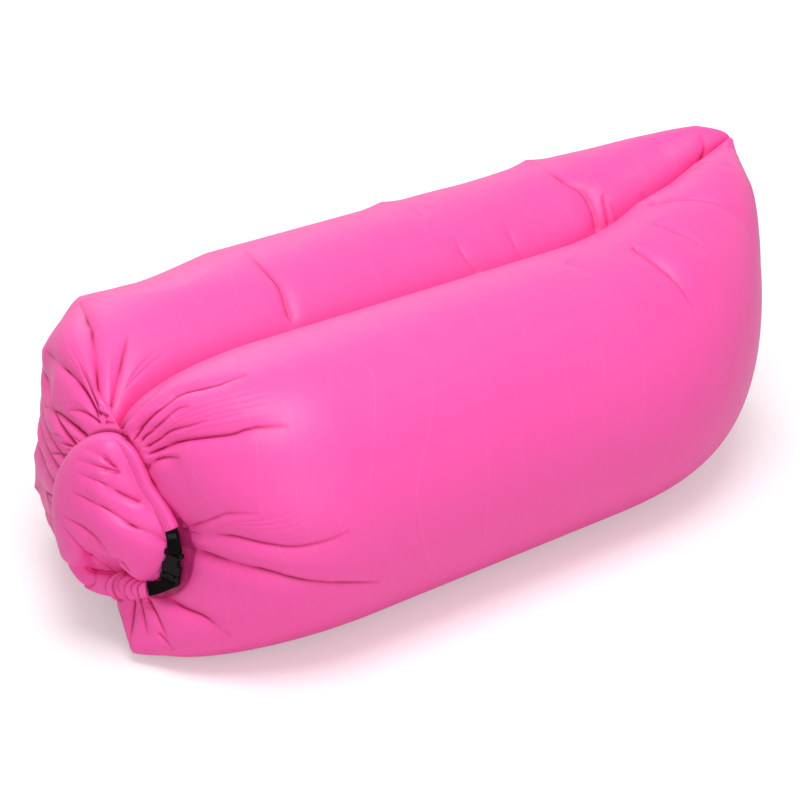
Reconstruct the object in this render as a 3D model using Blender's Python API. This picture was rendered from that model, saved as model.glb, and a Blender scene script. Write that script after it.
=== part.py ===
# Inflatable air lounger: two cloth air tubes side by side, closed by a rolled mouth that a webbing
# strap and a side-release buckle hold in a ring.
# Metres. +X runs from the rolled mouth to the head end, -Y is the front tube's side, +Z is up.
# The origin lies on the floor under the middle of the whole lounger.

import math

import bmesh
import bpy
import numpy as np
from mathutils import Matrix

# Driving dimensions of the two air tubes
overall_length = 1.497
tube_height = 0.488
tube_width = 0.472
tube_axis_share = 0.755
head_length = 0.548
head_rise = 0.071
head_rise_length = 0.479
head_drop = 0.016
drop_power = 8
head_lift = 0.086
lift_power = 2.62
head_edge = 0.028
head_round_share = 0.983
head_axis_share = 0.204
section_power = 14
fold_depth = 0.010
fold_count = 8

# Shoulders from each tube's neck to its straight part: how far from the mouth end they reach and how
# slowly they swell, at the top, the outer side, the floor and the centre plane
front_shoulder_reach = (0.361, 0.337, 0.466, 0.361)
front_shoulder_power = (0.97, 0.97, 0.17, 0.71)
back_shoulder_reach = (0.352, 0.364, 0.285, 0.361)
back_shoulder_power = (0.47, 1.22, 0.45, 0.71)

# Cloth, film and the clearances between neighbours
cloth_thick = 0.0016
film_thick = 0.0010
film_clearance = 0.008
web_thick = 0.0016
web_margin = 0.030
seam_depth = 0.014
fit_gap = 0.0003
floor_cut = 0.0005

# Ring that the rolled mouth is bent into
ring_centre_y = -0.103
ring_centre_z = 0.250
ring_half_width = 0.098
ring_half_height = 0.120
ring_turn = math.radians(25)
ring_tilt = math.radians(10)
ring_start = math.radians(2)
ring_end = math.radians(309)

# Where the ring leaves its oval: angle, spread and share, at the buckle, above it and low on the left.
# The mouth cloth inside the ring reaches less far towards the buckle.
buckle_corner = (math.radians(335), math.radians(30), 0.38)
inner_corner = (math.radians(335), math.radians(30), 0.12)
upper_flat = (math.radians(42), math.radians(30), -0.22)
pocket_corner = (math.radians(239), math.radians(25), 0.15)

# Necks of the tubes behind the ring, and the mouth cloth that bulges through it
neck_lap = 0.006
neck_spread = 0.018
neck_wall = 0.006
front_wall_lean = math.radians(54)
back_wall_lean = math.radians(-20)
dome_height = 0.048

# Rolled mouth and what it is wound on
roll_layer = 0.0016
roll_side_pitch = 0.0022
roll_face_pitch = 0.0031
roll_turns = 2.25
roll_square = 3.0
roll_side_room = 0.0060
roll_face_room = 0.0005
stiffener_width = 0.017
stiffener_thick = 0.0010

# Webbing and side-release buckle
webbing_width = 0.025
webbing_thick = 0.0012
webbing_lap = 0.016
strap_length = 0.034
strap_step = 0.012
strap_lead = 0.010
strap_spread_share = 0.30
buckle_width = 0.034
buckle_thick = 0.0095
buckle_lean = math.radians(6.5)
socket_length = 0.039
socket_wall = 0.0018
mouth_wall = 0.0038
waist_half_width = 0.0112
bar_depth = 0.0034
bar_thick = 0.0030
bar_slot = 0.0044
edge_round = 0.0009
plug_length = 0.017
guide_width = 0.0060
guide_length = 0.020
prong_thick = 0.0024
prong_catch = 0.0028
prong_head = 0.0080
prong_height = 0.0048
prong_slope_share = 0.55
plug_travel = 0.0010
bartack_length = 0.0100
bartack_width = 0.0170
bartack_thick = 0.0006
bartack_teeth = 6
bartack_place_share = 0.50
overrun = 0.010

# Counts of faces
around_count = 32
straight_count = 2
head_count = 9
shoulder_count = 8
web_count = 16
ring_count = 22
gap_count = 4
dome_count = 8
turn_count = 12
strap_count = 8
bend_count = 7
corner_count = 3

# Smallest step that counts, for slopes and divisions
tiny = 1e-6

PINK = (0.94, 0.14, 0.44)
FILM = (0.80, 0.82, 0.84)
BLACK = (0.012, 0.011, 0.012)


# Frame of the ring: its outward normal, and its level and rising directions
ring_normal = np.array([-math.cos(ring_turn) * math.cos(ring_tilt),
                        -math.sin(ring_turn) * math.cos(ring_tilt),
                        math.sin(ring_tilt)])
ring_level = np.cross([0.0, 0.0, 1.0], ring_normal)
ring_level /= np.linalg.norm(ring_level)
ring_rise = np.cross(ring_normal, ring_level)

# How far the floor flattens a tube's oval, and the angle from straight down to where the flat ends
pressed_share = 1 - 2 ** (-1 / section_power)
floor_drop = (tube_height * pressed_share / 2 + floor_cut) / (1 - pressed_share / 2)
flat_share = 1 - pressed_share - 2 * floor_cut / (tube_height + floor_drop)
flat_angle = math.acos((flat_share ** -section_power - 1) ** (-1 / section_power))

half_length = overall_length / 2
plane_gap = web_thick / 2 + fit_gap

# Rolled mouth: its hollow core round the stiffener strips, and its whole section
stiffener_near = webbing_thick + 2 * fit_gap
core_half_width = stiffener_width / 2 + roll_side_room
core_half_thick = stiffener_near + stiffener_thick + roll_face_room
roll_half_width = core_half_width + roll_layer + roll_side_pitch * roll_turns
roll_half_thick = core_half_thick + roll_layer + roll_face_pitch * roll_turns
neck_depth = roll_half_thick + fit_gap + cloth_thick + fit_gap


def ring_path(angle, corner=buckle_corner):
    """Level and rising offsets of the rolled mouth's centre line: an oval drawn out and in at its bends."""
    stretch = 1.0
    for centre, spread, share in (corner, upper_flat, pocket_corner):
        turned = (np.asarray(angle) - centre + math.pi) % (2 * math.pi) - math.pi
        stretch = stretch + share * np.exp(-(turned / spread) ** 2)
    return ring_half_width * np.cos(angle) * stretch, ring_half_height * np.sin(angle) * stretch


def ring_across(angle, corner=buckle_corner):
    """Unit direction across the rolled mouth in the ring's plane, pointing out of the ring."""
    step = tiny
    after, before = (np.array(ring_path(np.asarray(angle) + sign * step, corner)) for sign in (1, -1))
    along = (after - before) / np.linalg.norm(after - before, axis=0)
    return along[1], -along[0]


def ring_offset(level, rise, depth):
    """Offset from the ring's centre, from offsets in the ring's plane and a depth in front of it."""
    level, rise, depth = (np.asarray(value)[..., None] for value in (level, rise, depth))
    return level * ring_level + rise * ring_rise + depth * ring_normal


def ring_point(level, rise, depth):
    return ring_centre + ring_offset(level, rise, depth)


def ring_angles():
    """Angles of the stations along the rolled mouth, then of those across the buckle's gap."""
    gap = np.linspace(ring_end, ring_start + 2 * math.pi, gap_count + 1)[1:-1]
    return np.concatenate([np.linspace(ring_start, ring_end, ring_count), gap])


def carried_offsets(across, deep):
    """An outline, given across the roll and out of the ring's plane, carried along the rolled mouth."""
    angle = ring_angles()[:ring_count]
    stations = zip(*ring_path(angle), *ring_across(angle))
    return np.array([ring_offset(u + a * across, v + b * across, deep) for u, v, a, b in stations])


def roll_rounding(turn):
    """How far the roll's flattened section swells past an oval at an angle round it."""
    return (abs(math.cos(turn)) ** roll_square + abs(math.sin(turn)) ** roll_square) ** (-1 / roll_square)


def roll_outline():
    """Outline across the roll and out of its plane: a flattened spiral of cloth, out and back."""
    count = int(roll_turns * turn_count) + 1
    turns = np.array([math.pi + step * 2 * math.pi / turn_count for step in range(count)])
    swell = np.array([roll_rounding(turn) for turn in turns])
    done = (turns - math.pi) / (2 * math.pi)
    across, deep = [], []
    for layer in (0.0, roll_layer):
        across.append((roll_half_width - roll_side_pitch * done - layer) * swell * np.cos(turns))
        deep.append((roll_half_thick - roll_face_pitch * done - layer) * swell * np.sin(turns))
    return (np.concatenate([side[0], side[1][::-1]]) for side in (across, deep))


roll_near = carried_offsets(*roll_outline())[..., 0].min()
ring_centre = np.array([-half_length - roll_near, ring_centre_y, ring_centre_z])


def smooth_step(share):
    return share * share * (3 - 2 * share)


def tube_section(x, angle, inset):
    """A tube's section: an oval pressed flat by the floor and by the tube beside it.

    Gives the distance out from the centre plane and the height, for cloth drawn in by inset.
    """
    closing = np.clip((x - half_length + head_length) / head_length, 0, 1)
    closing = np.arcsin(closing) / (math.pi / 2)
    rise = np.clip((x - half_length + head_rise_length) / head_rise_length, 0, 1)
    width = np.maximum(tube_width / 2 * np.cos(closing * math.pi / 2) ** head_round_share, head_edge / 2)
    top = tube_height + floor_drop + head_rise * smooth_step(rise) - inset
    top = top - head_drop * closing ** drop_power
    bottom = head_lift * closing ** lift_power + inset
    half, middle = (top - bottom) / 2, (top + bottom) / 2
    axis = width * (tube_axis_share + (head_axis_share - tube_axis_share) * rise ** 2 * closing)
    out, up = np.cos(angle), np.sin(angle)
    to_floor = np.where(up < 0, (middle - inset) / (half * np.maximum(-up, tiny)), np.inf)
    to_plane = np.where(out < 0, (axis - inset) / ((width - inset) * np.maximum(-out, tiny)), np.inf)
    press = (1 + to_floor ** -section_power + to_plane ** -section_power) ** (-1 / section_power)
    distance = plane_gap + axis + press * (width - inset) * out
    return distance, np.maximum(middle + press * half * up - floor_drop, inset)


def round_blend(angle, values):
    """Blend, at an angle round a tube, of values named at its top, outer side, floor and centre plane."""
    top, outer, floor, plane = values
    out, up = np.cos(angle), np.sin(angle)
    upright = np.where(up > 0, top, floor)
    sideways = np.where(out > 0, outer, plane)
    share = np.where(out > 0, out ** 2, smooth_step(np.clip(-out / tube_axis_share, 0, 1)))
    return upright + (sideways - upright) * share


def tube_stations(start):
    """Outer stations along a tube's straight part and its head end, and how far each has closed.

    start holds where the straight part begins at each angle round the tube.
    """
    head_start = half_length - head_length
    straight = [start + (head_start - start) * step / straight_count for step in range(straight_count)]
    closing = np.linspace(0, 1, head_count)
    head = [head_start + head_length * math.sin(share * math.pi / 2) + 0 * start for share in closing]
    return np.array(straight + head), np.concatenate([np.zeros(straight_count), closing])


def tube_neck(side, angle, inset):
    """Rows of a tube's neck: half of the ring's oval behind the roll, closed by a wall across the ring.

    The front tube takes the ring's right half and the back tube its left half, wall beside wall.
    """
    turned = np.where((side < 0) | (np.cos(angle) < 0), angle, math.pi - angle)
    level, rise = ring_path(turned)
    across_level, across_rise = ring_across(turned)
    outer = np.clip(np.cos(angle), 0, 1)
    inner = np.clip(-np.cos(angle), 0, 1)
    lean = front_wall_lean if side < 0 else back_wall_lean
    wall = fit_gap / 2 + inset * math.cos(lean)
    rows = []
    for grow, depth in ((-neck_lap, 0.0), (neck_spread - inset, neck_wall)):
        sideways = np.where(outer > 0, -side * (level + grow * across_level * np.sqrt(outer)), wall)
        height = rise + grow * across_rise
        deep = -neck_depth - inset * (1 + (math.sin(lean) - 1) * inner) - depth * inner
        rows.append(ring_point(-side * np.maximum(sideways, wall), height, deep))
    return rows


def tube_surface(side, inset, step=1, skip_first=0, skip_last=0):
    """Grid of points along and around a tube, from its neck to its head end."""
    angle = np.linspace(flat_angle, 2 * math.pi - flat_angle, around_count)[::step] - math.pi / 2
    reach = front_shoulder_reach if side < 0 else back_shoulder_reach
    power = round_blend(angle, front_shoulder_power if side < 0 else back_shoulder_power)
    stations, closing = tube_stations(round_blend(angle, reach) - half_length)
    stations, closing = stations[::step], closing[::step]
    if skip_last:
        stations, closing = stations[:-skip_last], closing[:-skip_last]
    distance, height = tube_section(stations, angle, inset)
    x = stations - inset * np.sin(closing * math.pi / 2)[:, None]
    body = np.stack([x, side * distance, height], -1)
    rows = tube_neck(side, angle, inset)
    neck = rows[-1]
    for share in np.linspace(0, 1, shoulder_count)[1:-1:step]:
        quarter = share * math.pi / 2
        grow = np.sin(quarter) ** power
        along = (1 - math.cos(quarter)) * np.ones_like(grow)
        row = neck + (body[0] - neck) * np.stack([along, grow, grow], -1)
        fold = fold_depth * math.sin(share * math.pi) * (1 - np.cos(fold_count * angle)) / 2
        row[:, 1] -= side * fold * np.cos(angle)
        row[:, 2] -= fold * np.sin(angle)
        row[:, 2] = np.maximum(row[:, 2], inset)
        rows.append(row)
    return np.concatenate([np.array(rows[skip_first:]), body], 0)


def grid_faces(rows, columns, start, wrap=True):
    """Quads between neighbouring rows and columns of a grid whose first point has index start."""
    faces = []
    for i in range(rows - 1):
        for j in range(columns if wrap else columns - 1):
            k = (j + 1) % columns
            faces.append((start + i * columns + j, start + i * columns + k,
                          start + (i + 1) * columns + k, start + (i + 1) * columns + j))
    return faces


def fan_faces(row_start, columns, centre):
    return [(row_start + j, row_start + (j + 1) % columns, centre) for j in range(columns)]


def bag_mesh(outer, inner):
    """Closed solid of a bag: two skins joined at the first row, each closed by a fan at the last row."""
    rows, columns = outer.shape[:2]
    points = np.concatenate([outer.reshape(-1, 3), inner.reshape(-1, 3),
                             outer[-1].mean(0)[None], inner[-1].mean(0)[None]])
    half = rows * columns
    faces = grid_faces(rows, columns, 0) + grid_faces(rows, columns, half)
    faces += [(j, (j + 1) % columns, half + (j + 1) % columns, half + j) for j in range(columns)]
    faces += fan_faces(half - columns, columns, 2 * half)
    faces += fan_faces(2 * half - columns, columns, 2 * half + 1)
    return points, faces


def swept_mesh(sections):
    """Closed solid from a row of closed outlines, with an n-gon at each end."""
    rows, columns = sections.shape[:2]
    faces = grid_faces(rows, columns, 0)
    faces.append(tuple(range(columns)))
    faces.append(tuple(range((rows - 1) * columns, rows * columns)))
    return sections.reshape(-1, 3), faces


def principled(name, colour, roughness, metallic=0.0):
    material = bpy.data.materials.new(name)
    material.use_nodes = True
    shader = material.node_tree.nodes["Principled BSDF"]
    shader.inputs["Base Color"].default_value = (*colour, 1.0)
    shader.inputs["Roughness"].default_value = roughness
    shader.inputs["Metallic"].default_value = metallic
    material.diffuse_color = (*colour, 1.0)
    return material


def add_piece(name, points, faces, colour, roughness, frame=None, smooth=30):
    """Adds one closed solid. Points are in the frame's own coordinates, or the world's without one."""
    mesh = bpy.data.meshes.new(name)
    mesh.from_pydata([tuple(map(float, point)) for point in points], [], faces)
    work = bmesh.new()
    work.from_mesh(mesh)
    bmesh.ops.recalc_face_normals(work, faces=work.faces)
    work.to_mesh(mesh)
    work.free()
    mesh.materials.append(principled(name, colour, roughness))
    mesh.shade_smooth()
    mesh.set_sharp_from_angle(angle=math.radians(smooth))
    piece = bpy.data.objects.new(name, mesh)
    bpy.context.scene.collection.objects.link(piece)
    if frame is not None:
        piece.matrix_world = frame
    return piece


def make_tube(name, liner_name, side):
    outer, inner = tube_surface(side, 0.0), tube_surface(side, cloth_thick)
    add_piece(name, *bag_mesh(outer, inner), PINK, 0.42)
    start = cloth_thick + film_clearance
    outer = tube_surface(side, start, 2, 3, 1)
    inner = tube_surface(side, start + film_thick, 2, 3, 1)
    add_piece(liner_name, *bag_mesh(outer, inner), FILM, 0.30)


def pressed_half_height(x):
    """Middle height of the flat where the tubes press together at x, and half the flat's height."""
    closing = np.arcsin(np.clip((x - half_length + head_length) / head_length, 0, 1)) / (math.pi / 2)
    rise = np.clip((x - half_length + head_rise_length) / head_rise_length, 0, 1)
    top = tube_height + head_rise * smooth_step(rise) - head_drop * closing ** drop_power
    bottom = head_lift * closing ** lift_power
    share = tube_axis_share + (head_axis_share - tube_axis_share) * rise ** 2 * closing
    return (top + bottom) / 2, (top - bottom) / 2 * np.sqrt(1 - share ** 2)


def make_centre_web():
    """Shared cloth wall where the two tubes are sewn together, a thin upright panel."""
    start = front_shoulder_reach[-1] - half_length
    x = np.linspace(start, half_length - seam_depth - web_margin, web_count)
    middle, half = pressed_half_height(x)
    half = half - web_margin
    outline = np.concatenate([np.stack([x, middle + half], -1), np.stack([x, middle - half], -1)[::-1]])
    sides = [np.stack([outline[:, 0], np.full(len(outline), y), outline[:, 1]], -1)
             for y in (-web_thick / 2, web_thick / 2)]
    add_piece("centre_web", *swept_mesh(np.array(sides)), PINK, 0.45)


def make_head_seam():
    """Sewn seam allowance that closes the head end, an upright strip in the cleft between the tubes."""
    middle, half = pressed_half_height(half_length)
    low, high = middle - half, middle + half
    near, far = half_length - seam_depth - fit_gap, half_length
    outline = [(near, low), (far, low), (far, high), (near, high)]
    sides = [[(x, y, z) for x, z in outline] for y in (-web_thick / 2, web_thick / 2)]
    add_piece("head_end_seam", *swept_mesh(np.array(sides)), PINK, 0.45)


def make_front_mouth():
    """Cloth of the front tube's mouth: a brim behind the roll and a crown that bulges through the ring."""
    angle = ring_angles()
    brim = np.array(ring_path(angle))
    inner, across = (np.array(line(angle, inner_corner)) for line in (ring_path, ring_across))
    skins = []
    for inset in (0.0, cloth_thick):
        crown = inner - across * (roll_half_width + fit_gap + inset)
        deep = roll_half_thick + fit_gap + inset
        rows = []
        for step in range(turn_count // 4 + 1):
            turn = step * 2 * math.pi / turn_count
            swell = roll_rounding(turn)
            flat = brim + (crown - brim) * swell * math.sin(turn)
            rows.append(ring_point(flat[0], flat[1], -deep * swell * math.cos(turn) + 0 * angle))
        for turn in np.linspace(0, math.pi / 2, dome_count)[1:-1]:
            flat = crown * math.cos(turn)
            rows.append(ring_point(flat[0], flat[1], (dome_height - inset) * math.sin(turn) + 0 * angle))
        skins.append(np.array(rows))
    points, faces = bag_mesh(*skins)
    points[-2] = ring_point(0.0, 0.0, dome_height)
    points[-1] = ring_point(0.0, 0.0, dome_height - cloth_thick)
    add_piece("front_mouth_cloth", points, faces, PINK, 0.42)


def make_roll():
    """The mouth's hem rolled up and carried along the ring."""
    add_piece("mouth_roll", *swept_mesh(ring_centre + carried_offsets(*roll_outline())), PINK, 0.45)


def make_stiffeners():
    """Two flat plastic strips in the mouth's hem, with the strap ends sewn between them."""
    near = stiffener_near
    across = np.array([-1, 1, 1, -1]) * stiffener_width / 2
    for name, sign in (("front_stiffener_strip", 1), ("back_stiffener_strip", -1)):
        deep = sign * np.array([near, near, near + stiffener_thick, near + stiffener_thick])
        add_piece(name, *swept_mesh(ring_centre + carried_offsets(across, deep)), BLACK, 0.5)


# Frame of the buckle: x across it, y from the socket's bar to the plug's end, z out of its face
buckle_down = -ring_rise * math.cos(buckle_lean) - ring_level * math.sin(buckle_lean)
buckle_across = -(ring_level * math.cos(buckle_lean) - ring_rise * math.sin(buckle_lean))
strap_start = np.array([float(value) for value in ring_path(ring_start)])
buckle_origin = ring_point(*strap_start, 0.0) + buckle_down * strap_length - buckle_across * strap_step


def strap_frame(origin, down):
    """World matrix of a frame in the ring's plane that lies along a direction, its z out of the ring."""
    columns = np.stack([np.cross(down, ring_normal), down, ring_normal, origin], -1)
    return Matrix([list(row) for row in columns] + [[0.0, 0.0, 0.0, 1.0]])


def buckle_frame(x, y, z):
    """World matrix of a frame that lies along the buckle with its origin at a point of it."""
    return strap_frame(buckle_origin + buckle_across * x + buckle_down * y + ring_normal * z, buckle_down)


def buckle_plane(point):
    """Offsets in the ring's plane of a point given across and along the buckle."""
    place = buckle_origin + buckle_across * point[0] + buckle_down * point[1] - ring_centre
    return np.array([place @ ring_level, place @ ring_rise])


def strap_mesh(middles, acrosses, depths, leans):
    """Closed ribbon of webbing from its middle line, its width directions and its face directions."""
    sections = []
    for middle, across, depth, lean in zip(middles, acrosses, depths, leans):
        section = []
        for side, lift in ((-1, -1), (1, -1), (1, 1), (-1, 1)):
            flat = middle + across * side * webbing_width / 2 + lean[:2] * lift * webbing_thick / 2
            section.append(ring_point(flat[0], flat[1], depth + lean[2] * lift * webbing_thick / 2))
        sections.append(section)
    return swept_mesh(np.array(sections))


def bend_point(line, share):
    """Point at a share of a bent line, given by its start, the point it bends towards and its end."""
    start, control, end = line
    return (1 - share) ** 2 * start + 2 * share * (1 - share) * control + share ** 2 * end


def strap_loop(tail, tail_across, control, bar, bar_across, along, slack):
    """Strap from between the stiffener strips, round a buckle's bar and back, laid on a bent line.

    along is the direction from the strap to the bar in the ring's plane.
    """
    near, wide = webbing_thick / 2 + fit_gap / 2, bar_thick / 2 + fit_gap + webbing_thick / 2
    lead = bar - along * (bar_depth + fit_gap)
    middles, acrosses, depths, leans = [], [], [], []
    for share in np.linspace(0, 1, strap_count):
        middles.append(bend_point((tail, control, lead), share))
        turned = tail_across * (1 - share) + bar_across * share
        acrosses.append(turned / np.linalg.norm(turned))
        depths.append(near + (wide - near) * smooth_step(max(0.0, 1 - (1 - share) / strap_spread_share)))
        leans.append(np.array([0.0, 0.0, 1.0]))
    middles.append(bar)
    acrosses.append(bar_across)
    depths.append(wide)
    leans.append(np.array([0.0, 0.0, 1.0]))
    bend_middles, bend_depths, bend_leans = [], [], []
    for turn in np.linspace(0, math.pi, bend_count)[1:-1]:
        reach = (bar_depth / 2 + slack + webbing_thick / 2) * math.sqrt(math.sin(turn))
        bend_middles.append(bar + along * reach)
        bend_depths.append(wide * math.copysign(math.sqrt(abs(math.cos(turn))), math.cos(turn)))
        bend_leans.append(np.array([*(along * math.sin(turn)), math.cos(turn)]))
    middles = middles + bend_middles + middles[::-1]
    acrosses = acrosses + [bar_across] * len(bend_middles) + acrosses[::-1]
    depths = depths + bend_depths + [-depth for depth in depths[::-1]]
    leans = leans + bend_leans + [-lean for lean in leans[::-1]]
    return strap_mesh(middles, acrosses, depths, leans)


def upper_strap_line():
    """Bent line of the upper strap from its tail in the roll to the socket's bar."""
    tail = np.array(ring_path(ring_start + webbing_lap / 2 / ring_half_width))
    across = np.array(ring_across(ring_start))
    control = np.array(ring_path(ring_start)) + np.array([across[1], -across[0]]) * strap_lead
    return tail, control, buckle_plane((0.0, -bar_depth / 2))


def make_straps():
    """Webbing sewn into each end of the roll, the upper one on the socket and the lower on the plug."""
    across = buckle_plane((1.0, 0.0)) - buckle_plane((0.0, 0.0))
    down = buckle_plane((0.0, 1.0)) - buckle_plane((0.0, 0.0))
    tail, control, _ = upper_strap_line()
    tail_across = -np.array(ring_across(ring_start))
    mesh = strap_loop(tail, tail_across, control, buckle_plane((0.0, bar_depth / 2)), across, down, fit_gap)
    add_piece("upper_webbing", *mesh, BLACK, 0.8)
    lap = ring_end - webbing_lap / 2 / ring_half_width
    tail, tail_across = np.array(ring_path(lap)), np.array(ring_across(lap))
    end, end_across = np.array(ring_path(ring_end)), np.array(ring_across(ring_end))
    outward = np.array([-end_across[1], end_across[0]])
    bar = buckle_plane((0.0, socket_length + plug_travel + fit_gap + plug_length - bar_depth / 2))
    lower_slack = plug_travel + fit_gap * 3
    mesh = strap_loop(tail, tail_across, end + outward * bar_slot, bar, -across, -down, lower_slack)
    add_piece("lower_webbing", *mesh, BLACK, 0.8)


def make_bartack():
    """Zigzag of sewing thread that holds the upper strap's two layers together above the buckle."""
    x = np.linspace(-bartack_width / 2, bartack_width / 2, 2 * bartack_teeth + 1)
    y = np.where(np.arange(len(x)) % 2 == 0, -bartack_length / 2, bartack_length / 2)
    outline = np.concatenate([np.stack([x, y], -1), np.stack([x, y + 2 * bartack_thick], -1)[::-1]])
    low = webbing_thick + fit_gap * 2
    sides = [np.column_stack([outline, np.full(len(outline), z)]) for z in (low, low + bartack_thick)]
    line = upper_strap_line()
    middle, ahead = bend_point(line, bartack_place_share), bend_point(line, bartack_place_share + tiny)
    down = ring_offset(*(ahead - middle), 0.0)
    frame = strap_frame(ring_point(*middle, 0.0), down / np.linalg.norm(down))
    add_piece("upper_bartack", *swept_mesh(np.array(sides)), BLACK, 0.7, frame)


def half_outline(points):
    """Whole outline, mirrored across the buckle's middle, from its right half."""
    return points + [(-x, y) for x, y in points[::-1]]


def arc_points(centre, radius, start, end, count):
    """Points on an arc between two angles in degrees, round a centre."""
    angles = [math.radians(start + (end - start) * i / count) for i in range(count + 1)]
    return [(centre[0] + radius * math.cos(a), centre[1] + radius * math.sin(a)) for a in angles]


def plate(outline, low, high):
    sides = [[(x, y, z) for x, y in outline] for z in (low, high)]
    return swept_mesh(np.array(sides))


def cutter(name, outline, low, high, frame):
    """Hidden prism that a Boolean takes out of a buckle part."""
    piece = add_piece(name, *plate(outline, low, high), BLACK, 0.5, frame)
    piece.hide_render = True
    piece.display_type = "WIRE"
    return piece


def cut(piece, tool):
    modifier = piece.modifiers.new(tool.name, "BOOLEAN")
    modifier.operation = "DIFFERENCE"
    modifier.solver = "EXACT"
    modifier.object = tool


def box_outline(half_width, low, high):
    return [(half_width, low), (half_width, high), (-half_width, high), (-half_width, low)]


socket_half = buckle_width / 2
slot_half = webbing_width / 2 + fit_gap + webbing_thick / 2
waist_low = bar_depth + bar_slot + socket_wall
waist_high = waist_low + prong_head + prong_catch * 2
cavity_half = socket_half - mouth_wall


def make_socket():
    """Female half of the buckle: ears round the webbing bar, an open waist and a hollow mouth."""
    ear = edge_round * 2
    outline = [(socket_half - ear, 0.0), (socket_half, ear), (socket_half, waist_low - ear)]
    outline += [(socket_half - ear, waist_low), (waist_half_width, waist_low + ear)]
    outline += [(waist_half_width, waist_high), (socket_half - ear / 2, waist_high)]
    outline.append((socket_half, waist_high + ear))
    outline += arc_points((socket_half - ear, socket_length - ear), ear, 0, 90, corner_count)
    half = buckle_thick / 2
    frame = buckle_frame(0.0, 0.0, 0.0)
    socket = add_piece("buckle_socket", *plate(half_outline(outline), -half, half), BLACK, 0.38, frame)
    bevel = socket.modifiers.new("edges", "BEVEL")
    bevel.width = edge_round
    bevel.segments = 1
    bevel.limit_method = "ANGLE"
    hollow = half - socket_wall
    cut(socket, cutter("socket_cavity", box_outline(cavity_half, waist_low + socket_wall,
                                                    socket_length + overrun), -hollow, hollow, frame))
    cut(socket, cutter("socket_bar_slot", box_outline(slot_half, bar_depth, bar_depth + bar_slot),
                       -overrun, overrun, frame))
    thin = bar_thick / 2
    above = box_outline(slot_half, -overrun, bar_depth + bar_slot / 2)
    for name, low, high in (("socket_bar_face", thin, overrun), ("socket_bar_back", -overrun, -thin)):
        cut(socket, cutter(name, above, low, high, frame))


plug_start = socket_length + plug_travel + fit_gap
plug_end = plug_start + plug_length
prong_root_y = plug_start + prong_thick / 2
prong_root_x = cavity_half - prong_thick - fit_gap * 2


def make_plug():
    """Male half of the buckle without its prongs: the bar end and the centre guide."""
    start, end = plug_start, plug_end
    ear = edge_round * 2
    pocket = prong_thick + fit_gap * 4
    outer = prong_root_x + prong_thick / 2 + fit_gap * 2
    outline = [(guide_width / 2 - ear / 2, start - guide_length),
               (guide_width / 2, start - guide_length + ear), (guide_width / 2, start)]
    outline += [(outer - pocket, start), (outer - pocket, start + pocket), (outer, start + pocket)]
    outline += [(outer, start), (socket_half - ear, start), (socket_half, start + ear)]
    outline += arc_points((socket_half - ear, end - ear), ear, 0, 90, corner_count)
    half = buckle_thick / 2
    frame = buckle_frame(0.0, 0.0, 0.0)
    plug = add_piece("buckle_plug", *plate(half_outline(outline), -half, half), BLACK, 0.38, frame)
    slim = half - socket_wall - fit_gap
    above = box_outline(guide_width, -overrun, start)
    cut(plug, cutter("guide_face", above, slim, overrun, frame))
    cut(plug, cutter("guide_back", above, -overrun, -slim, frame))
    cut(plug, cutter("plug_bar_slot", box_outline(slot_half, end - bar_depth - bar_slot, end - bar_depth),
                     -overrun, overrun, frame))
    thin = bar_thick / 2
    low = end - bar_depth - bar_slot / 2
    for name, bottom, top in (("plug_bar_face", thin, overrun), ("plug_bar_back", -overrun, -thin)):
        cut(plug, cutter(name, box_outline(slot_half, low, end + overrun), bottom, top, frame))


def make_prong(name, side):
    """Sprung arm with a catch that shows in the socket's waist; its origin is on its hinge line."""
    catch_y = waist_high - prong_root_y - fit_gap
    head_y = catch_y - prong_head
    inner, outer = -prong_thick / 2, prong_thick / 2
    reach = outer + prong_catch
    outline = arc_points((0.0, 0.0), prong_thick / 2, 0, 180, corner_count * 2)
    outline += [(inner, catch_y), (inner, head_y + prong_thick / 2), (inner + prong_thick / 3, head_y)]
    slope_y = head_y + prong_head * prong_slope_share
    outline += [(outer, head_y), (reach, slope_y), (reach, catch_y), (outer, catch_y)]
    outline = [(side * x, y) for x, y in outline]
    half = prong_height / 2
    points, faces = plate(outline, -half, half)
    add_piece(name, points, faces, BLACK, 0.38, buckle_frame(side * prong_root_x, prong_root_y, 0.0))


def build():
    for piece in list(bpy.data.objects):
        bpy.data.objects.remove(piece, do_unlink=True)
    make_tube("front_tube_shell", "front_air_liner", -1)
    make_tube("back_tube_shell", "back_air_liner", 1)
    make_centre_web()
    make_head_seam()
    make_front_mouth()
    make_roll()
    make_stiffeners()
    make_straps()
    make_bartack()
    make_socket()
    make_plug()
    make_prong("right_prong", -1)
    make_prong("left_prong", 1)
    bpy.context.view_layer.update()


build()
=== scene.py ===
# Looks of an inflatable air lounger: two gathered cloth tubes, a mouth rolled into a ring and its buckle.
# Metres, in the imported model's frame: +X to the head end, -Y to the front tube, +Z up.
import math

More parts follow.
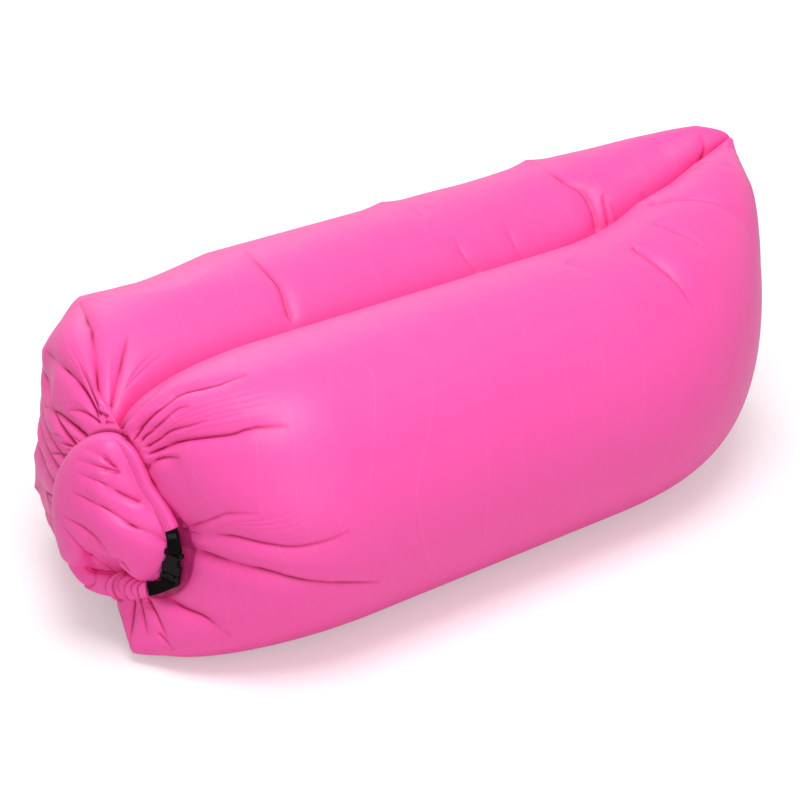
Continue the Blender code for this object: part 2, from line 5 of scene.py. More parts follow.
import bpy
import numpy as np
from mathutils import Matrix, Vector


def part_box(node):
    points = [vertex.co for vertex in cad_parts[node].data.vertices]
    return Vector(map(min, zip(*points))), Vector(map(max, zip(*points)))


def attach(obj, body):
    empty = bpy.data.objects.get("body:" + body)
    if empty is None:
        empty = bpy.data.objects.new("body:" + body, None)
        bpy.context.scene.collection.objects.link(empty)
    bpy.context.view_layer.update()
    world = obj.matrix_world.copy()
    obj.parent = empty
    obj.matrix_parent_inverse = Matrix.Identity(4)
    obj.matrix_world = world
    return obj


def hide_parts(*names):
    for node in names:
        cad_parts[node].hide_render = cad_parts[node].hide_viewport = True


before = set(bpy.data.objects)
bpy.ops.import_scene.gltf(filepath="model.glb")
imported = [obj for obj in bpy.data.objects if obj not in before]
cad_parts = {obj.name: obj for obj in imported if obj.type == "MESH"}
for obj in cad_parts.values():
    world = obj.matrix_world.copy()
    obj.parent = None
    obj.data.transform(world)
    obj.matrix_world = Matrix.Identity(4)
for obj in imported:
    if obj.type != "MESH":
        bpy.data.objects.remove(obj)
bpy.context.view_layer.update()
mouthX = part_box("mouth_roll")[0][0]
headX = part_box("front_tube_shell")[1][0]
print("frame loaded")


# ---- camera

photo = dict(
    size=800,                       # pixels across the square photograph
    focal=1913.3,                   # focal length in those pixels
    sensor=36.0,                    # mm
    target=(-0.0475, 0.0, 0.213),
    distance=3.486,
    elevation=28.023,               # degrees
    turn=54.037,                    # degrees from +X to the way the camera looks
)


def unit(vector):
    # each vector divided by its length
    return vector / np.maximum(np.linalg.norm(vector, axis=-1, keepdims=True), 1e-12)


def smooth(share):
    # smooth step from 0 to 1: 3 s^2 - 2 s^3
    share = np.clip(share, 0, 1)
    return share * share * (3 - 2 * share)


def cameraAxes():
    # ahead by its turn and elevation, right level across that, and up across both
    tilt, turn = math.radians(photo["elevation"]), math.radians(photo["turn"])
    ahead = np.array([math.cos(turn) * math.cos(tilt), math.sin(turn) * math.cos(tilt), -math.sin(tilt)])
    right = unit(np.cross(ahead, [0.0, 0.0, 1.0]))
    return right, np.cross(right, ahead), ahead


cameraRight, cameraUp, cameraAhead = cameraAxes()
cameraPlace = np.array(photo["target"]) - cameraAhead * photo["distance"]


def inPhoto(points):
    # pixel of each point, and its distance in front of the camera
    away = points - cameraPlace
    deep = away @ cameraAhead
    across = photo["size"] / 2 + photo["focal"] * (away @ cameraRight) / deep
    down = photo["size"] / 2 - photo["focal"] * (away @ cameraUp) / deep
    return across, down, deep


def placed(thing, side, up, back, place):
    # links an object whose matrix has its three directions and its place as columns
    bpy.context.scene.collection.objects.link(thing)
    turned = np.eye(4)
    turned[:3] = np.column_stack([side, up, back, place])
    thing.matrix_world = turned.T.tolist()


def addCamera():
    # lens in mm: focal length in pixels times the sensor over the photograph's width
    data = bpy.data.cameras.new("camera")
    data.sensor_width = photo["sensor"]
    data.lens = photo["focal"] / photo["size"] * photo["sensor"]
    camera = bpy.data.objects.new("camera", data)
    placed(camera, cameraRight, cameraUp, -cameraAhead, cameraPlace)
    bpy.context.scene.camera = camera


# ---- materials

class Socket:
    # an output socket; sums on it add Math nodes to its material
    def __init__(self, finish, link):
        self.finish, self.link = finish, link

    def __add__(self, other):
        return self.finish.maths("ADD", self, other)

    def __rsub__(self, other):
        return self.finish.maths("SUBTRACT", other, self)

    def __mul__(self, other):
        return self.finish.maths("MULTIPLY", self, other)

    def __pow__(self, other):
        return self.finish.maths("POWER", self, other)

    __radd__ = __add__
    __rmul__ = __mul__


class Finish:
    # a material: node() adds any node, shade() feeds the shader
    def __init__(self, name):
        self.material = bpy.data.materials.new(name)
        self.material.use_nodes = True
        self.tree = self.material.node_tree
        self.shader = self.tree.nodes["Principled BSDF"]

    def feed(self, target, value):
        # a link from a socket, or a plain value
        if isinstance(value, Socket):
            self.tree.links.new(value.link, target)
        else:
            target.default_value = value

    def node(self, kind, settings=None, sockets=None, out=0):
        # settings first, then the values or links of its sockets
        made = self.tree.nodes.new("ShaderNode" + kind)
        for name, value in (settings or {}).items():
            setattr(made, name, value)
        for name, value in (sockets or {}).items():
            self.feed(made.inputs[name], value)
        return Socket(self, made.outputs[out])

    def maths(self, operation, first, second):
        return self.node("Math", dict(operation=operation), {0: first, 1: second})

    def mix(self, share, first, second):
        # 0, 6 and 7 are the factor and the two colours
        return self.node("Mix", dict(data_type="RGBA"), {0: share, 6: opaque(first), 7: opaque(second)}, 2)

    def noise(self, place, scale, detail, roughness=0.5):
        return self.node("TexNoise", sockets={"Vector": place, "Scale": scale, "Detail": detail,
                                              "Roughness": roughness})

    def lines(self, way, pitch, width):
        # 1 on a line of that width every pitch along the way, 0 between
        wave = self.maths("PINGPONG", way, pitch / 2)
        return self.maths("LESS_THAN", wave, width / 2)

    def bump(self, height, strength):
        # height in metres
        return self.node("Bump", sockets={"Height": height, "Strength": strength, "Distance": 1.0})

    def objectPlace(self):
        # each point's place in metres, from the object's own origin
        return self.node("TexCoord", out=3)

    def acrossAlong(self, vector):
        # the first two numbers of a vector
        parts = self.node("SeparateXYZ", sockets={0: vector})
        return parts, Socket(self, parts.link.node.outputs[1])

    def shade(self, sockets):
        for name, value in sockets.items():
            self.feed(self.shader.inputs[name], value)
        return self.material


def opaque(colour):
    # a colour with its alpha of 1, while a socket stays as it is
    return (*colour, 1.0) if isinstance(colour, tuple) else colour


nylon = dict(
    colour=(0.98, 0.079, 0.400),
    rose=(0.90, 0.030, 0.240),                      # painted shade where the cloth turns in
    deep=(0.22, 0.004, 0.070),                      # darker painted shade where it is folded in
    roseRise=0.7, deepRise=2.0,                     # powers of the painted shade
    bleached=(0.99, 0.118, 0.455),                  # faint cloudy lighter areas
    cloudScale=3.1, cloudShare=0.55,
    packedColour=(1.0, 0.30, 0.62),                 # faint lines round it that packing leaves
    packedPitch=0.074, packedWidth=0.0012, packedShare=0.25,
    bendScale=2.3, bend=0.30,                       # how they wander
    gridPitch=0.0052, gridLine=0.10,                # ripstop squares, and a thread's share of one
    gridShare=0.10, gridHeight=0.00008,
    crinkle=0.035, crinkleRoughness=0.55, crinkleHeight=0.0022,     # size and height of the soft crinkles
    bump=0.55, roughness=0.43, roughSpread=0.10,
    sheen={"Sheen Weight": 0.07, "Sheen Roughness": 0.35, "Sheen Tint": (1.0, 0.65, 0.85, 1.0),
           "Specular IOR Level": 0.42},
)


def nylonCloth(name, packing=0.0, mapped=True):
    # colour: clouds, then the painted shade of creases and folds to two powers, then the ripstop and packing
    # lines;
    # height: soft crinkles and the ripstop threads
    cloth = Finish(name)
    place = cloth.objectPlace()
    uv = cloth.node("UVMap", dict(uv_map="cloth")) if mapped else cloth.node("Mapping", sockets={
        "Vector": place, "Rotation": (math.pi / 2, 0.0, 0.0)})
    across, along = cloth.acrossAlong(uv)
    grid = cloth.maths("MAXIMUM", *(cloth.lines(way, nylon["gridPitch"], nylon["gridPitch"] * nylon["gridLine"])
                                    for way in (across, along)))
    bent = cloth.noise(place, nylon["bendScale"], 1.0)
    packed = cloth.lines(along + bent * nylon["bend"], nylon["packedPitch"], nylon["packedWidth"])
    paintedShade = cloth.node("Attribute", dict(attribute_name="paintedShade"), out=2)
    cloud = cloth.noise(place, nylon["cloudScale"], 3.0)
    crinkle = cloth.noise(place, 1 / nylon["crinkle"], 4.0, nylon["crinkleRoughness"])
    colour = cloth.mix(cloud * nylon["cloudShare"], nylon["colour"], nylon["bleached"])
    # painted shade: the colour darkens to rose, then to deep, where the cloth turns and folds in
    colour = cloth.mix(paintedShade ** nylon["roseRise"], colour, nylon["rose"])
    colour = cloth.mix(paintedShade ** nylon["deepRise"], colour, nylon["deep"])
    colour = cloth.mix(grid * nylon["gridShare"], colour, nylon["bleached"])
    colour = cloth.mix(packed * crinkle * packing, colour, nylon["packedColour"])
    height = crinkle * nylon["crinkleHeight"] + grid * nylon["gridHeight"]
    rough = crinkle * nylon["roughSpread"] + (nylon["roughness"] - nylon["roughSpread"] / 2)
    return cloth.shade({"Base Color": colour, "Roughness": rough, "Normal": cloth.bump(height, nylon["bump"]),
                        **nylon["sheen"]})


webbing = dict(
    colour=(0.0028, 0.0022, 0.0025), worn=(0.009, 0.008, 0.0085),
    chevron=0.00625, pitch=0.0013, slope=0.9,       # width of a herringbone column, and its threads
    fuzzScale=900.0, ribShare=0.5, fuzzShare=0.3, ribHeight=0.00018, fuzzHeight=0.00005,
    bump=0.8, roughness=0.82, ribShine=0.12,
    sheen={"Sheen Weight": 0.01, "Sheen Roughness": 0.5, "Specular IOR Level": 0.03},
)


def webbingCloth():
    # ribs as a sine of the way along plus a zigzag across, with fuzz
    woven = Finish("woven webbing")
    across, along = woven.acrossAlong(woven.node("UVMap", dict(uv_map="cloth")))
    zigzag = woven.maths("PINGPONG", across, webbing["chevron"])
    phase = (along + zigzag * webbing["slope"]) * (2 * math.pi / webbing["pitch"])
    rib = woven.node("Math", dict(operation="SINE"), {0: phase}) * 0.5 + 0.5
    fuzz = woven.noise(woven.objectPlace(), webbing["fuzzScale"], 2.0)
    colour = woven.mix(rib * webbing["ribShare"] + fuzz * webbing["fuzzShare"], webbing["colour"], webbing["worn"])
    height = rib * webbing["ribHeight"] + fuzz * webbing["fuzzHeight"]
    return woven.shade({"Base Color": colour, "Roughness": webbing["roughness"] - rib * webbing["ribShine"],
                        "Normal": woven.bump(height, webbing["bump"]), **webbing["sheen"]})


thread = dict(colour=(0.005, 0.004, 0.005), pale=(0.018, 0.016, 0.018), scale=2600.0, height=0.0001, bump=0.6,
              roughness=0.45, roughSpread=0.2)


def threadFinish():
    # twisted sewing thread, lighter where the plies stand up
    twisted = Finish("black thread")
    ply = twisted.noise(twisted.objectPlace(), thread["scale"], 1.0)
    return twisted.shade({"Base Color": twisted.mix(ply, thread["colour"], thread["pale"]),
                          "Roughness": ply * thread["roughSpread"] + thread["roughness"],
                          "Normal": twisted.bump(ply * thread["height"], thread["bump"])})


moulding = dict(
    colour=(0.0040, 0.0034, 0.0040), rubbed=(0.013, 0.012, 0.013),
    grain=2400.0, cloud=60.0, height=0.00006, bump=0.5, specular=0.12,
    buckleRoughness=0.36, stripRoughness=0.5, cloudRoughness=0.16, grainRoughness=0.08,
)


def mouldedPlastic(name, roughness):
    # satin moulded plastic: a spark-eroded grain, and a cloudy polish where hands rub it
    plastic = Finish(name)
    place = plastic.objectPlace()
    grain = plastic.noise(place, moulding["grain"], 2.0)
    cloud = plastic.noise(place, moulding["cloud"], 3.0)
    rough = (cloud * moulding["cloudRoughness"] + grain * moulding["grainRoughness"]
             + (roughness - (moulding["cloudRoughness"] + moulding["grainRoughness"]) / 2))
    return plastic.shade({"Base Color": plastic.mix(cloud * grain, moulding["colour"], moulding["rubbed"]),
                          "Roughness": rough, "Specular IOR Level": moulding["specular"],
                          "Normal": plastic.bump(grain * moulding["height"], moulding["bump"])})


film = dict(thin=(0.74, 0.77, 0.80), cloudy=(0.86, 0.88, 0.90), crinkle=38.0, height=0.003, bump=0.5,
            roughness=0.12, roughSpread=0.2)


def airFilm():
    # thin clear film of the inner bags, finely crinkled
    clear = Finish("air film")
    crinkle = clear.noise(clear.objectPlace(), film["crinkle"], 5.0)
    return clear.shade({"Base Color": clear.mix(crinkle, film["thin"], film["cloudy"]),
                        "Roughness": crinkle * film["roughSpread"] + film["roughness"],
                        "Normal": clear.bump(crinkle * film["height"], film["bump"])})


# ---- the ring that the mouth is bent into

ring = dict(
    place=(-0.103, 0.250),           # y and z of its centre
    halfWidth=0.098, halfHeight=0.120,
    turn=25.0,                       # degrees, towards the front tube
    tilt=10.0,                       # degrees, leaning back
    # degrees, spread and share of the places where it leaves its oval: at the buckle, above it, low on the left
    bends=[(335.0, 30.0, 0.38), (42.0, 30.0, -0.22), (239.0, 25.0, 0.15)],
    nearReach=0.060835,              # from its centre to the mouth end along X
)
ringTurn, ringTilt = math.radians(ring["turn"]), math.radians(ring["tilt"])
ringOut = np.array([-math.cos(ringTurn) * math.cos(ringTilt), -math.sin(ringTurn) * math.cos(ringTilt),
                    math.sin(ringTilt)])
ringLevel = unit(np.cross([0.0, 0.0, 1.0], ringOut))
ringRise = np.cross(ringOut, ringLevel)
ringCentre = np.array([mouthX + ring["nearReach"], *ring["place"]])


def ringPath(angle, corner=ring["bends"][0]):
    # ellipse (level, rise), stretched at each bend by share exp(-(turned / spread)^2)
    stretch = 1.0
    for bend, spread, share in [corner] + ring["bends"][1:]:
        turned = (angle - math.radians(bend) + math.pi) % (2 * math.pi) - math.pi
        stretch = stretch + share * np.exp(-(turned / math.radians(spread)) ** 2)
    return ring["halfWidth"] * np.cos(angle) * stretch, ring["halfHeight"] * np.sin(angle) * stretch


def ringAcross(angle, corner=ring["bends"][0]):
    # unit direction across the path, out of the ring
    step = 1e-5
    ahead, behind = np.array(ringPath(angle + step, corner)), np.array(ringPath(angle - step, corner))
    along = (ahead - behind) / np.linalg.norm(ahead - behind, axis=0)
    return along[1], -along[0]


def ringPoint(level, rise, depth):
    # its centre plus the place along its level, rising and outward directions
    level, rise, depth = (np.asarray(value, float)[..., None] for value in (level, rise, depth))
    return ringCentre + level * ringLevel + rise * ringRise + depth * ringOut


# ---- the two tubes

tube = dict(
    height=0.488, width=0.472, axisShare=0.755, squareness=14, floorCut=0.0005, planeGap=0.0011,
    headLength=0.548, headRise=0.071, headRiseLength=0.479, headDrop=0.016, dropPower=8,
    headLift=0.086, liftPower=2.62, headEdge=0.028, headRound=0.983, headAxis=0.204,
    lip=0.003, neckDepth=0.0141, neckLap=0.006, neckSpread=0.018, neckWall=0.006, neckGap=0.00015,
)
# how far from the mouth the shoulder reaches and how slowly it swells: top, outer side, floor, middle
shoulders = {
    -1: dict(reach=(0.361, 0.337, 0.466, 0.361), power=(0.97, 0.97, 0.17, 0.71)),
    1: dict(reach=(0.352, 0.364, 0.285, 0.361), power=(0.47, 1.22, 0.45, 0.71)),
}
pressed = 1 - 2 ** (-1 / tube["squareness"])
floorDrop = (tube["height"] * pressed / 2 + tube["floorCut"]) / (1 - pressed / 2)


def tubeSection(x, angle):
    # oval width cos, height sin of the angle, squared off by the floor and by the tube beside it
    headStart = headX - tube["headLength"]
    closing = np.arcsin(np.clip((x - headStart) / tube["headLength"], 0, 1)) / (math.pi / 2)
    rise = np.clip((x - headX + tube["headRiseLength"]) / tube["headRiseLength"], 0, 1)
    width = np.maximum(tube["width"] / 2 * np.cos(closing * math.pi / 2).clip(0) ** tube["headRound"],
                       tube["headEdge"] / 2)
    top = tube["height"] + floorDrop + tube["headRise"] * smooth(rise)
    top = top - tube["headDrop"] * closing ** tube["dropPower"]
    bottom = tube["headLift"] * closing ** tube["liftPower"]
    half, middle = (top - bottom) / 2, (top + bottom) / 2
    axis = width * (tube["axisShare"] + (tube["headAxis"] - tube["axisShare"]) * rise ** 2 * closing)
    out, up = np.cos(angle), np.sin(angle)
    toFloor = np.where(up < 0, middle / (half * np.maximum(-up, 1e-6)), np.inf)
    toPlane = np.where(out < 0, axis / (width * np.maximum(-out, 1e-6)), np.inf)
    power = tube["squareness"]
    press = (1 + toFloor ** -power + toPlane ** -power) ** (-1 / power)
    return tube["planeGap"] + axis + press * width * out, np.maximum(middle + press * half * up - floorDrop, 0)


def roundBlend(angle, values):
    # values named at the top, outer side, floor and middle plane, blended by cos^2 and a smooth step
    top, outer, floor, plane = values
    out, up = np.cos(angle), np.sin(angle)
    upright, sideways = np.where(up > 0, top, floor), np.where(out > 0, outer, plane)
    return upright + (sideways - upright) * np.where(out > 0, out ** 2, smooth(-out / tube["axisShare"]))


def tubeNeck(side, angle, spread, depth):
    # half of the ring's oval behind the roll, closed by a wall across the ring
    turned = np.where((side < 0) | (np.cos(angle) < 0), angle, math.pi - angle)
    level, rise = ringPath(turned)
    acrossLevel, acrossRise = ringAcross(turned)
    outer, inner = np.cos(angle).clip(0), (-np.cos(angle)).clip(0)
    sideways = np.where(outer > 0, -side * (level + spread * acrossLevel * np.sqrt(outer)), tube["neckGap"])
    deep = -tube["neckDepth"] - depth * inner
    return ringPoint(-side * np.maximum(sideways, tube["neckGap"]), rise + spread * acrossRise, deep)


def evenRows(grid, rows, power):
    # each column's points set again along its own length, closer together at the start
    steps = np.linalg.norm(np.diff(grid, axis=0), axis=-1)
    along = np.vstack([np.zeros(grid.shape[1]), np.cumsum(steps, 0)])
    along /= along[-1]
    want = np.linspace(0, 1, rows) ** power
    below = np.clip((along[None] <= want[:, None, None]).sum(1) - 1, 0, len(grid) - 2)
    column = np.arange(grid.shape[1])[None]
    low, high = along[below, column], along[below + 1, column]
    share = ((want[:, None] - low) / np.maximum(high - low, 1e-12))[..., None]
    return grid[below, column] * (1 - share) + grid[below + 1, column] * share


gridSize = dict(
    around=560, capRows=5, capStart=0.02, collarRows=5, bodyRows=170, headRows=210, lipRows=7,
    shoulderRows=230, shoulderPower=1.3, shoulderSamples=400, shoulderStart=4,
    crowding=0.35, crowded={-1: 35.0, 1: 95.0},     # columns lie closer round these degrees
)


def tubeGrid(side):
    # rows from the middle of the neck to the head seam, columns round the tube; the shoulder runs from the neck
    # to the body by 1 - cos along it and sin^power across it
    angle = np.linspace(0, 2 * math.pi, gridSize["around"], endpoint=False) - math.pi / 2
    angle = angle - gridSize["crowding"] * np.sin(angle - math.radians(gridSize["crowded"][side]))
    rim = tubeNeck(side, angle, -tube["neckLap"], 0.0)
    neck = tubeNeck(side, angle, tube["neckSpread"], tube["neckWall"])
    middle = rim.mean(0)
    shares = np.linspace(gridSize["capStart"], 1, gridSize["capRows"], endpoint=False)
    cap = [middle + (rim - middle) * share for share in shares]
    collar = [rim + (neck - rim) * share for share in np.linspace(0, 1, gridSize["collarRows"], endpoint=False)]
    start = mouthX + roundBlend(angle, shoulders[side]["reach"])
    headStart = headX - tube["headLength"]
    body = start + (headStart - start) * np.linspace(0, 1, gridSize["bodyRows"], endpoint=False)[:, None]
    closing = np.linspace(0, 1, gridSize["headRows"])[:, None]
    head = headStart + tube["headLength"] * np.sin(closing * math.pi / 2) + 0 * angle
    x = np.concatenate([body, head])
    distance, height = tubeSection(x, angle + 0 * x)
    body = np.stack([x, side * distance, height], -1)
    steps = np.linspace(0, 1, gridSize["shoulderSamples"]) ** gridSize["shoulderStart"]
    quarter = steps[:, None, None] * math.pi / 2
    grow = np.sin(quarter) ** roundBlend(angle, shoulders[side]["power"])[:, None]
    share = np.concatenate([(1 - np.cos(quarter)) + 0 * grow, grow, grow], -1)
    shoulder = neck + (body[0] - neck) * share
    shoulder = evenRows(shoulder, gridSize["shoulderRows"], gridSize["shoulderPower"])[:-1]
    shoulder[..., 2] = shoulder[..., 2].clip(0)
    # the sewn end, drawn together over a small rounded lip
    turned = np.linspace(0, math.pi / 2, gridSize["lipRows"] + 2)[1:-1, None]
    end = body[-1]
    middle = (end[:, 1].min() + end[:, 1].max()) / 2
    lip = np.stack([end[:, 0] + tube["lip"] * np.sin(turned), middle + (end[:, 1] - middle) * np.cos(turned),
                    end[:, 2] + 0 * turned], -1)
    return np.concatenate([cap, collar, shoulder, body, lip])


def gridNormals(grid):
    # across both ways of the grid, turned to point out of the shape
    around = np.roll(grid, -1, 1) - np.roll(grid, 1, 1)
    normals = unit(np.cross(around, np.gradient(grid, axis=0)))
    outward = (normals * (grid - grid.mean(1, keepdims=True))).sum(-1).mean()
    return normals * np.sign(outward)


# ---- creases: each is a line on a surface, with the cloth pinched in along it and a painted shade line in it

crease = dict(
    fullDepth=0.012,                    # depth from which its painted shade line is fully dark
    thread=0.0012, spread=0.035,        # half width of that painted shade line, and what it gains with the crease's own width
    blunt=0.0002, bluntSpread=0.018,    # rounding of the crease's bottom, and its gain with the width
    bluntKept=0.6,                      # share of the rounding that doesn't make it shallower
    tipPower=1.8, tipRound=0.8,         # how it fades to its tip
    root=0.4, paintedShadePower=0.6,            # share of its depth at the root, and how slowly its painted shade line fades
    hiddenCost=1e4, deepCost=20,        # in square pixels: a point that faces away, and a metre further back
)


def onSurface(pixels, grid, normals):
    # the surface's front-most points at some pixels of the photograph
    across, down, deep = inPhoto(grid)
    facing = ((cameraPlace - grid) * normals).sum(-1) > 0
    found = []
    for pixel in pixels:
        gap = (across - pixel[0]) ** 2 + (down - pixel[1]) ** 2
        cost = gap + np.where(facing, 0, crease["hiddenCost"]) + (deep - deep.min()) * crease["deepCost"]
        found.append(grid[np.unravel_index(np.argmin(cost), cost.shape)])
    return np.array(found)


def roundedLine(points, count=14):
    # points along a smooth line through the given ones (a Catmull-Rom spline)
    points = np.asarray(points, float)
    if len(points) < 3:
        return points[0] + (points[-1] - points[0]) * np.linspace(0, 1, count)[:, None]
    padded = np.concatenate([[2 * points[0] - points[1]], points, [2 * points[-1] - points[-2]]])
    share = np.linspace(0, len(points) - 1 - 1e-9, count)
    first = share.astype(int)
    t = (share - first)[:, None]
    a, b, c, d = (padded[first + k] for k in range(4))
    return 0.5 * (2 * b + (c - a) * t + (2 * a - 5 * b + 4 * c - d) * t ** 2 + (3 * b - a - 3 * c + d) * t ** 3)


def creaseShape(grid, line, depth, startWidth, endWidth, shadeDarkness=1.0, fadeIn=0.10):
    # dip between two pillows of cloth: 1 - sqrt(1 - (1 - distance / width)^2), fading along the line,
    # and a painted shade line exp(-(distance / thread)^2) in it
    reach = max(startWidth, endWidth)
    near = np.all((grid > line.min(0) - reach) & (grid < line.max(0) + reach), -1)
    points = grid[near]
    best, place = np.full(len(points), np.inf), np.zeros(len(points))
    lengths = np.linalg.norm(np.diff(line, axis=0), axis=-1)
    total, run = lengths.sum(), 0.0
    for start, end, length in zip(line[:-1], line[1:], lengths):
        way = (end - start) / max(length, 1e-9)
        along = ((points - start) @ way).clip(0, length)
        gap = np.linalg.norm(points - start - along[:, None] * way, axis=-1)
        closer = gap < best
        best, place = np.where(closer, gap, best), np.where(closer, (run + along) / total, place)
        run += length
    place = place.clip(0, 1)
    width = startWidth + (endWidth - startWidth) * place
    blunt = crease["blunt"] + crease["bluntSpread"] * width
    share = (1 - (np.hypot(best, blunt) - blunt * crease["bluntKept"]) / width).clip(0, 1)
    fade = (1 - place ** crease["tipPower"]) ** crease["tipRound"] * smooth(place / fadeIn + crease["root"])
    dip, paintedShadeMask = np.zeros(grid.shape[:-1]), np.zeros(grid.shape[:-1])
    dip[near] = depth * fade * (1 - np.sqrt(1 - share ** 2))
    line = crease["thread"] + crease["spread"] * width
    strong = (depth / crease["fullDepth"] * fade ** crease["paintedShadePower"]).clip(0, 1)
    # painted shade along the crease's line, strongest where the crease is deep
    paintedShadeMask[near] = shadeDarkness * strong * np.exp(-(best / line) ** 2)
    return dip, paintedShadeMask


def pinch(grid, normals, lines):
    # the deepest dip of all the creases at each point, taken off along the normal, and the darkest painted shade
    dip, paintedShadeMask = np.zeros(grid.shape[:-1]), np.zeros(grid.shape[:-1])
    for line, *shape in lines:
        more, darker = creaseShape(grid, line, *shape)
        dip, paintedShadeMask = np.maximum(dip, more), np.maximum(paintedShadeMask, darker)
    return grid - normals * dip[..., None], paintedShadeMask.clip(0, 1)


def swell(grid, normals, swells):
    # peaks and hollows of the cloth: height (1 - distance / reach)^sharpness about a point
    lift = np.zeros(grid.shape[:-1])
    for pixel, height, reach, sharpness in swells:
        centre = onSurface([pixel], grid, normals)[0]
        lift += height * (1 - np.linalg.norm(grid - centre, axis=-1) / reach).clip(0) ** sharpness
    return grid + normals * lift[..., None]


def fanned(first, last, count, *shape):
    # creases between two lines of pixels, by even shares of the way from one to the other
    first, last = roundedLine(first, 6), roundedLine(last, 6)
    shares = (np.arange(count) + 1) / (count + 1)
    return [([tuple(pixel) for pixel in first + (last - first) * share], *shape) for share in shares]


def photoLines(creases, grid, normals):
    # creases given by pixels, as rounded lines on the surface with their shapes
    return [(roundedLine(onSurface(path, grid, normals)), *shape) for path, *shape in creases]


# by pixels of the photograph, from the ring outwards: path, depth, width at the ring and at the tip, painted shade
frontCreases = [
    ([(115, 437), (124, 423), (148, 396), (168, 374)], 0.010, 0.016, 0.040),
    ([(131, 441), (134, 435), (148, 416), (165, 401), (180, 391), (214, 384), (248, 374)], 0.016, 0.018, 0.050),
    ([(138, 443), (143, 436), (158, 423), (177, 408), (190, 406)], 0.013, 0.016, 0.040),
    ([(144, 448), (156, 440), (170, 430), (190, 425), (207, 420)], 0.013, 0.015, 0.036),
    ([(147, 455), (158, 450), (177, 442), (204, 437), (231, 433), (253, 427), (290, 427)], 0.017, 0.018, 0.050),
    ([(146, 468), (156, 460), (168, 458), (181, 458)], 0.013, 0.014, 0.030),
    ([(180, 530), (195, 525), (214, 519), (228, 514), (258, 514)], 0.009, 0.020, 0.040),
    ([(187, 533), (226, 537), (262, 545), (294, 548), (326, 542), (350, 530)], 0.012, 0.020, 0.060),
    ([(184, 549), (214, 559), (262, 572), (299, 582), (349, 584), (380, 582)], 0.018, 0.022, 0.060),
    ([(158, 592), (177, 606), (204, 619), (232, 636)], 0.016, 0.018, 0.040),
    ([(146, 598), (156, 619), (168, 639)], 0.013, 0.014, 0.030),
    ([(138, 598), (142, 619), (148, 635)], 0.012, 0.012, 0.026),
    ([(133, 600), (130, 624), (130, 648)], 0.015, 0.014, 0.030),
    ([(158, 634), (166, 643), (174, 651)], 0.007, 0.014, 0.022),
    *fanned([(122, 442), (140, 410), (172, 384), (205, 362)], [(130, 448), (160, 408), (200, 388), (240, 378)], 3,
            0.004, 0.008, 0.014, 0.5),
    *fanned([(134, 446), (164, 420), (206, 398), (262, 382)], [(140, 454), (180, 436), (230, 428), (280, 420)], 5,
            0.004, 0.008, 0.014, 0.5),
    *fanned([(190, 532), (230, 520), (268, 514), (300, 498)], [(190, 536), (230, 539), (290, 546), (330, 536)], 5,
            0.0025, 0.008, 0.012, 0.3),
    *fanned([(170, 600), (196, 606), (222, 612), (250, 618)], [(160, 600), (180, 615), (200, 632), (216, 644)], 2,
            0.004, 0.010, 0.016, 0.4),
]
backCreases = [
    ([(107, 418), (105, 401), (98, 375), (91, 331), (86, 319), (80, 302)], 0.020, 0.018, 0.060),
    ([(112, 422), (115, 406), (123, 360), (129, 332)], 0.016, 0.014, 0.044),
    ([(100, 415), (93, 399), (84, 377), (79, 363)], 0.011, 0.012, 0.030),
    ([(97, 417), (81, 389), (64, 370), (45, 350)], 0.017, 0.014, 0.050),
    ([(99, 423), (90, 416), (80, 411), (66, 410)], 0.010, 0.010, 0.022),
    ([(86, 437), (68, 423), (54, 412), (43, 405)], 0.017, 0.014, 0.040),
    ([(78, 447), (66, 445), (45, 438)], 0.011, 0.010, 0.024),
    ([(68, 456), (56, 454), (45, 453)], 0.010, 0.010, 0.022),
    ([(57, 500), (46, 495), (34, 488)], 0.014, 0.012, 0.030),
    ([(57, 518), (50, 519), (42, 519)], 0.008, 0.010, 0.018),
    *fanned([(110, 424), (119, 392), (135, 365), (150, 345)], [(112, 424), (126, 392), (150, 372), (172, 356)], 2,
            0.004, 0.008, 0.012, 0.5),
    *fanned([(102, 414), (99, 395), (90, 365), (78, 335)], [(96, 414), (86, 396), (70, 376), (52, 356)], 4,
            0.004, 0.008, 0.012, 0.5),
    *fanned([(82, 440), (66, 430), (52, 424), (42, 422)], [(62, 478), (52, 474), (44, 470), (36, 466)], 4,
            0.004, 0.008, 0.012, 0.5),
    ([(291, 321), (286, 303), (278, 283), (262, 266), (245, 251)], 0.014, 0.030, 0.054, 0.8),
    ([(477, 275), (464, 256), (452, 238)], 0.008, 0.028, 0.036, 0.5),
    ([(523, 262), (513, 240), (503, 219)], 0.007, 0.028, 0.036, 0.4),
    ([(598, 235), (594, 214), (583, 192), (559, 176), (525, 159)], 0.016, 0.032, 0.064, 0.7),
    ([(610, 227), (606, 210), (602, 192)], 0.010, 0.020, 0.030, 0.9),
    ([(619, 222), (613, 208), (606, 196)], 0.005, 0.014, 0.020, 0.5),
    ([(424, 215), (418, 210), (410, 205)], 0.006, 0.030, 0.036, 0.2),
    ([(702, 165), (705, 150), (700, 134)], 0.012, 0.024, 0.030, 0.6),
    ([(647, 206), (645, 200), (641, 192)], 0.005, 0.014, 0.018, 0.5),
]
headCreases = [
    ([(690, 170), (705, 160), (721, 163), (739, 172)], 0.010, 0.030, 0.030, 0.1),
    ([(647, 203), (686, 197), (721, 203), (745, 222), (752, 240)], 0.012, 0.050, 0.050, 0.15),
    ([(655, 221), (675, 230), (700, 243), (716, 262)], 0.010, 0.040, 0.046, 0.2),
    ([(632, 246), (652, 258), (670, 274), (684, 290), (694, 310)], 0.014, 0.040, 0.060, 0.5),
    ([(566, 262), (580, 266), (594, 277)], 0.006, 0.036, 0.036, 0.1),
]
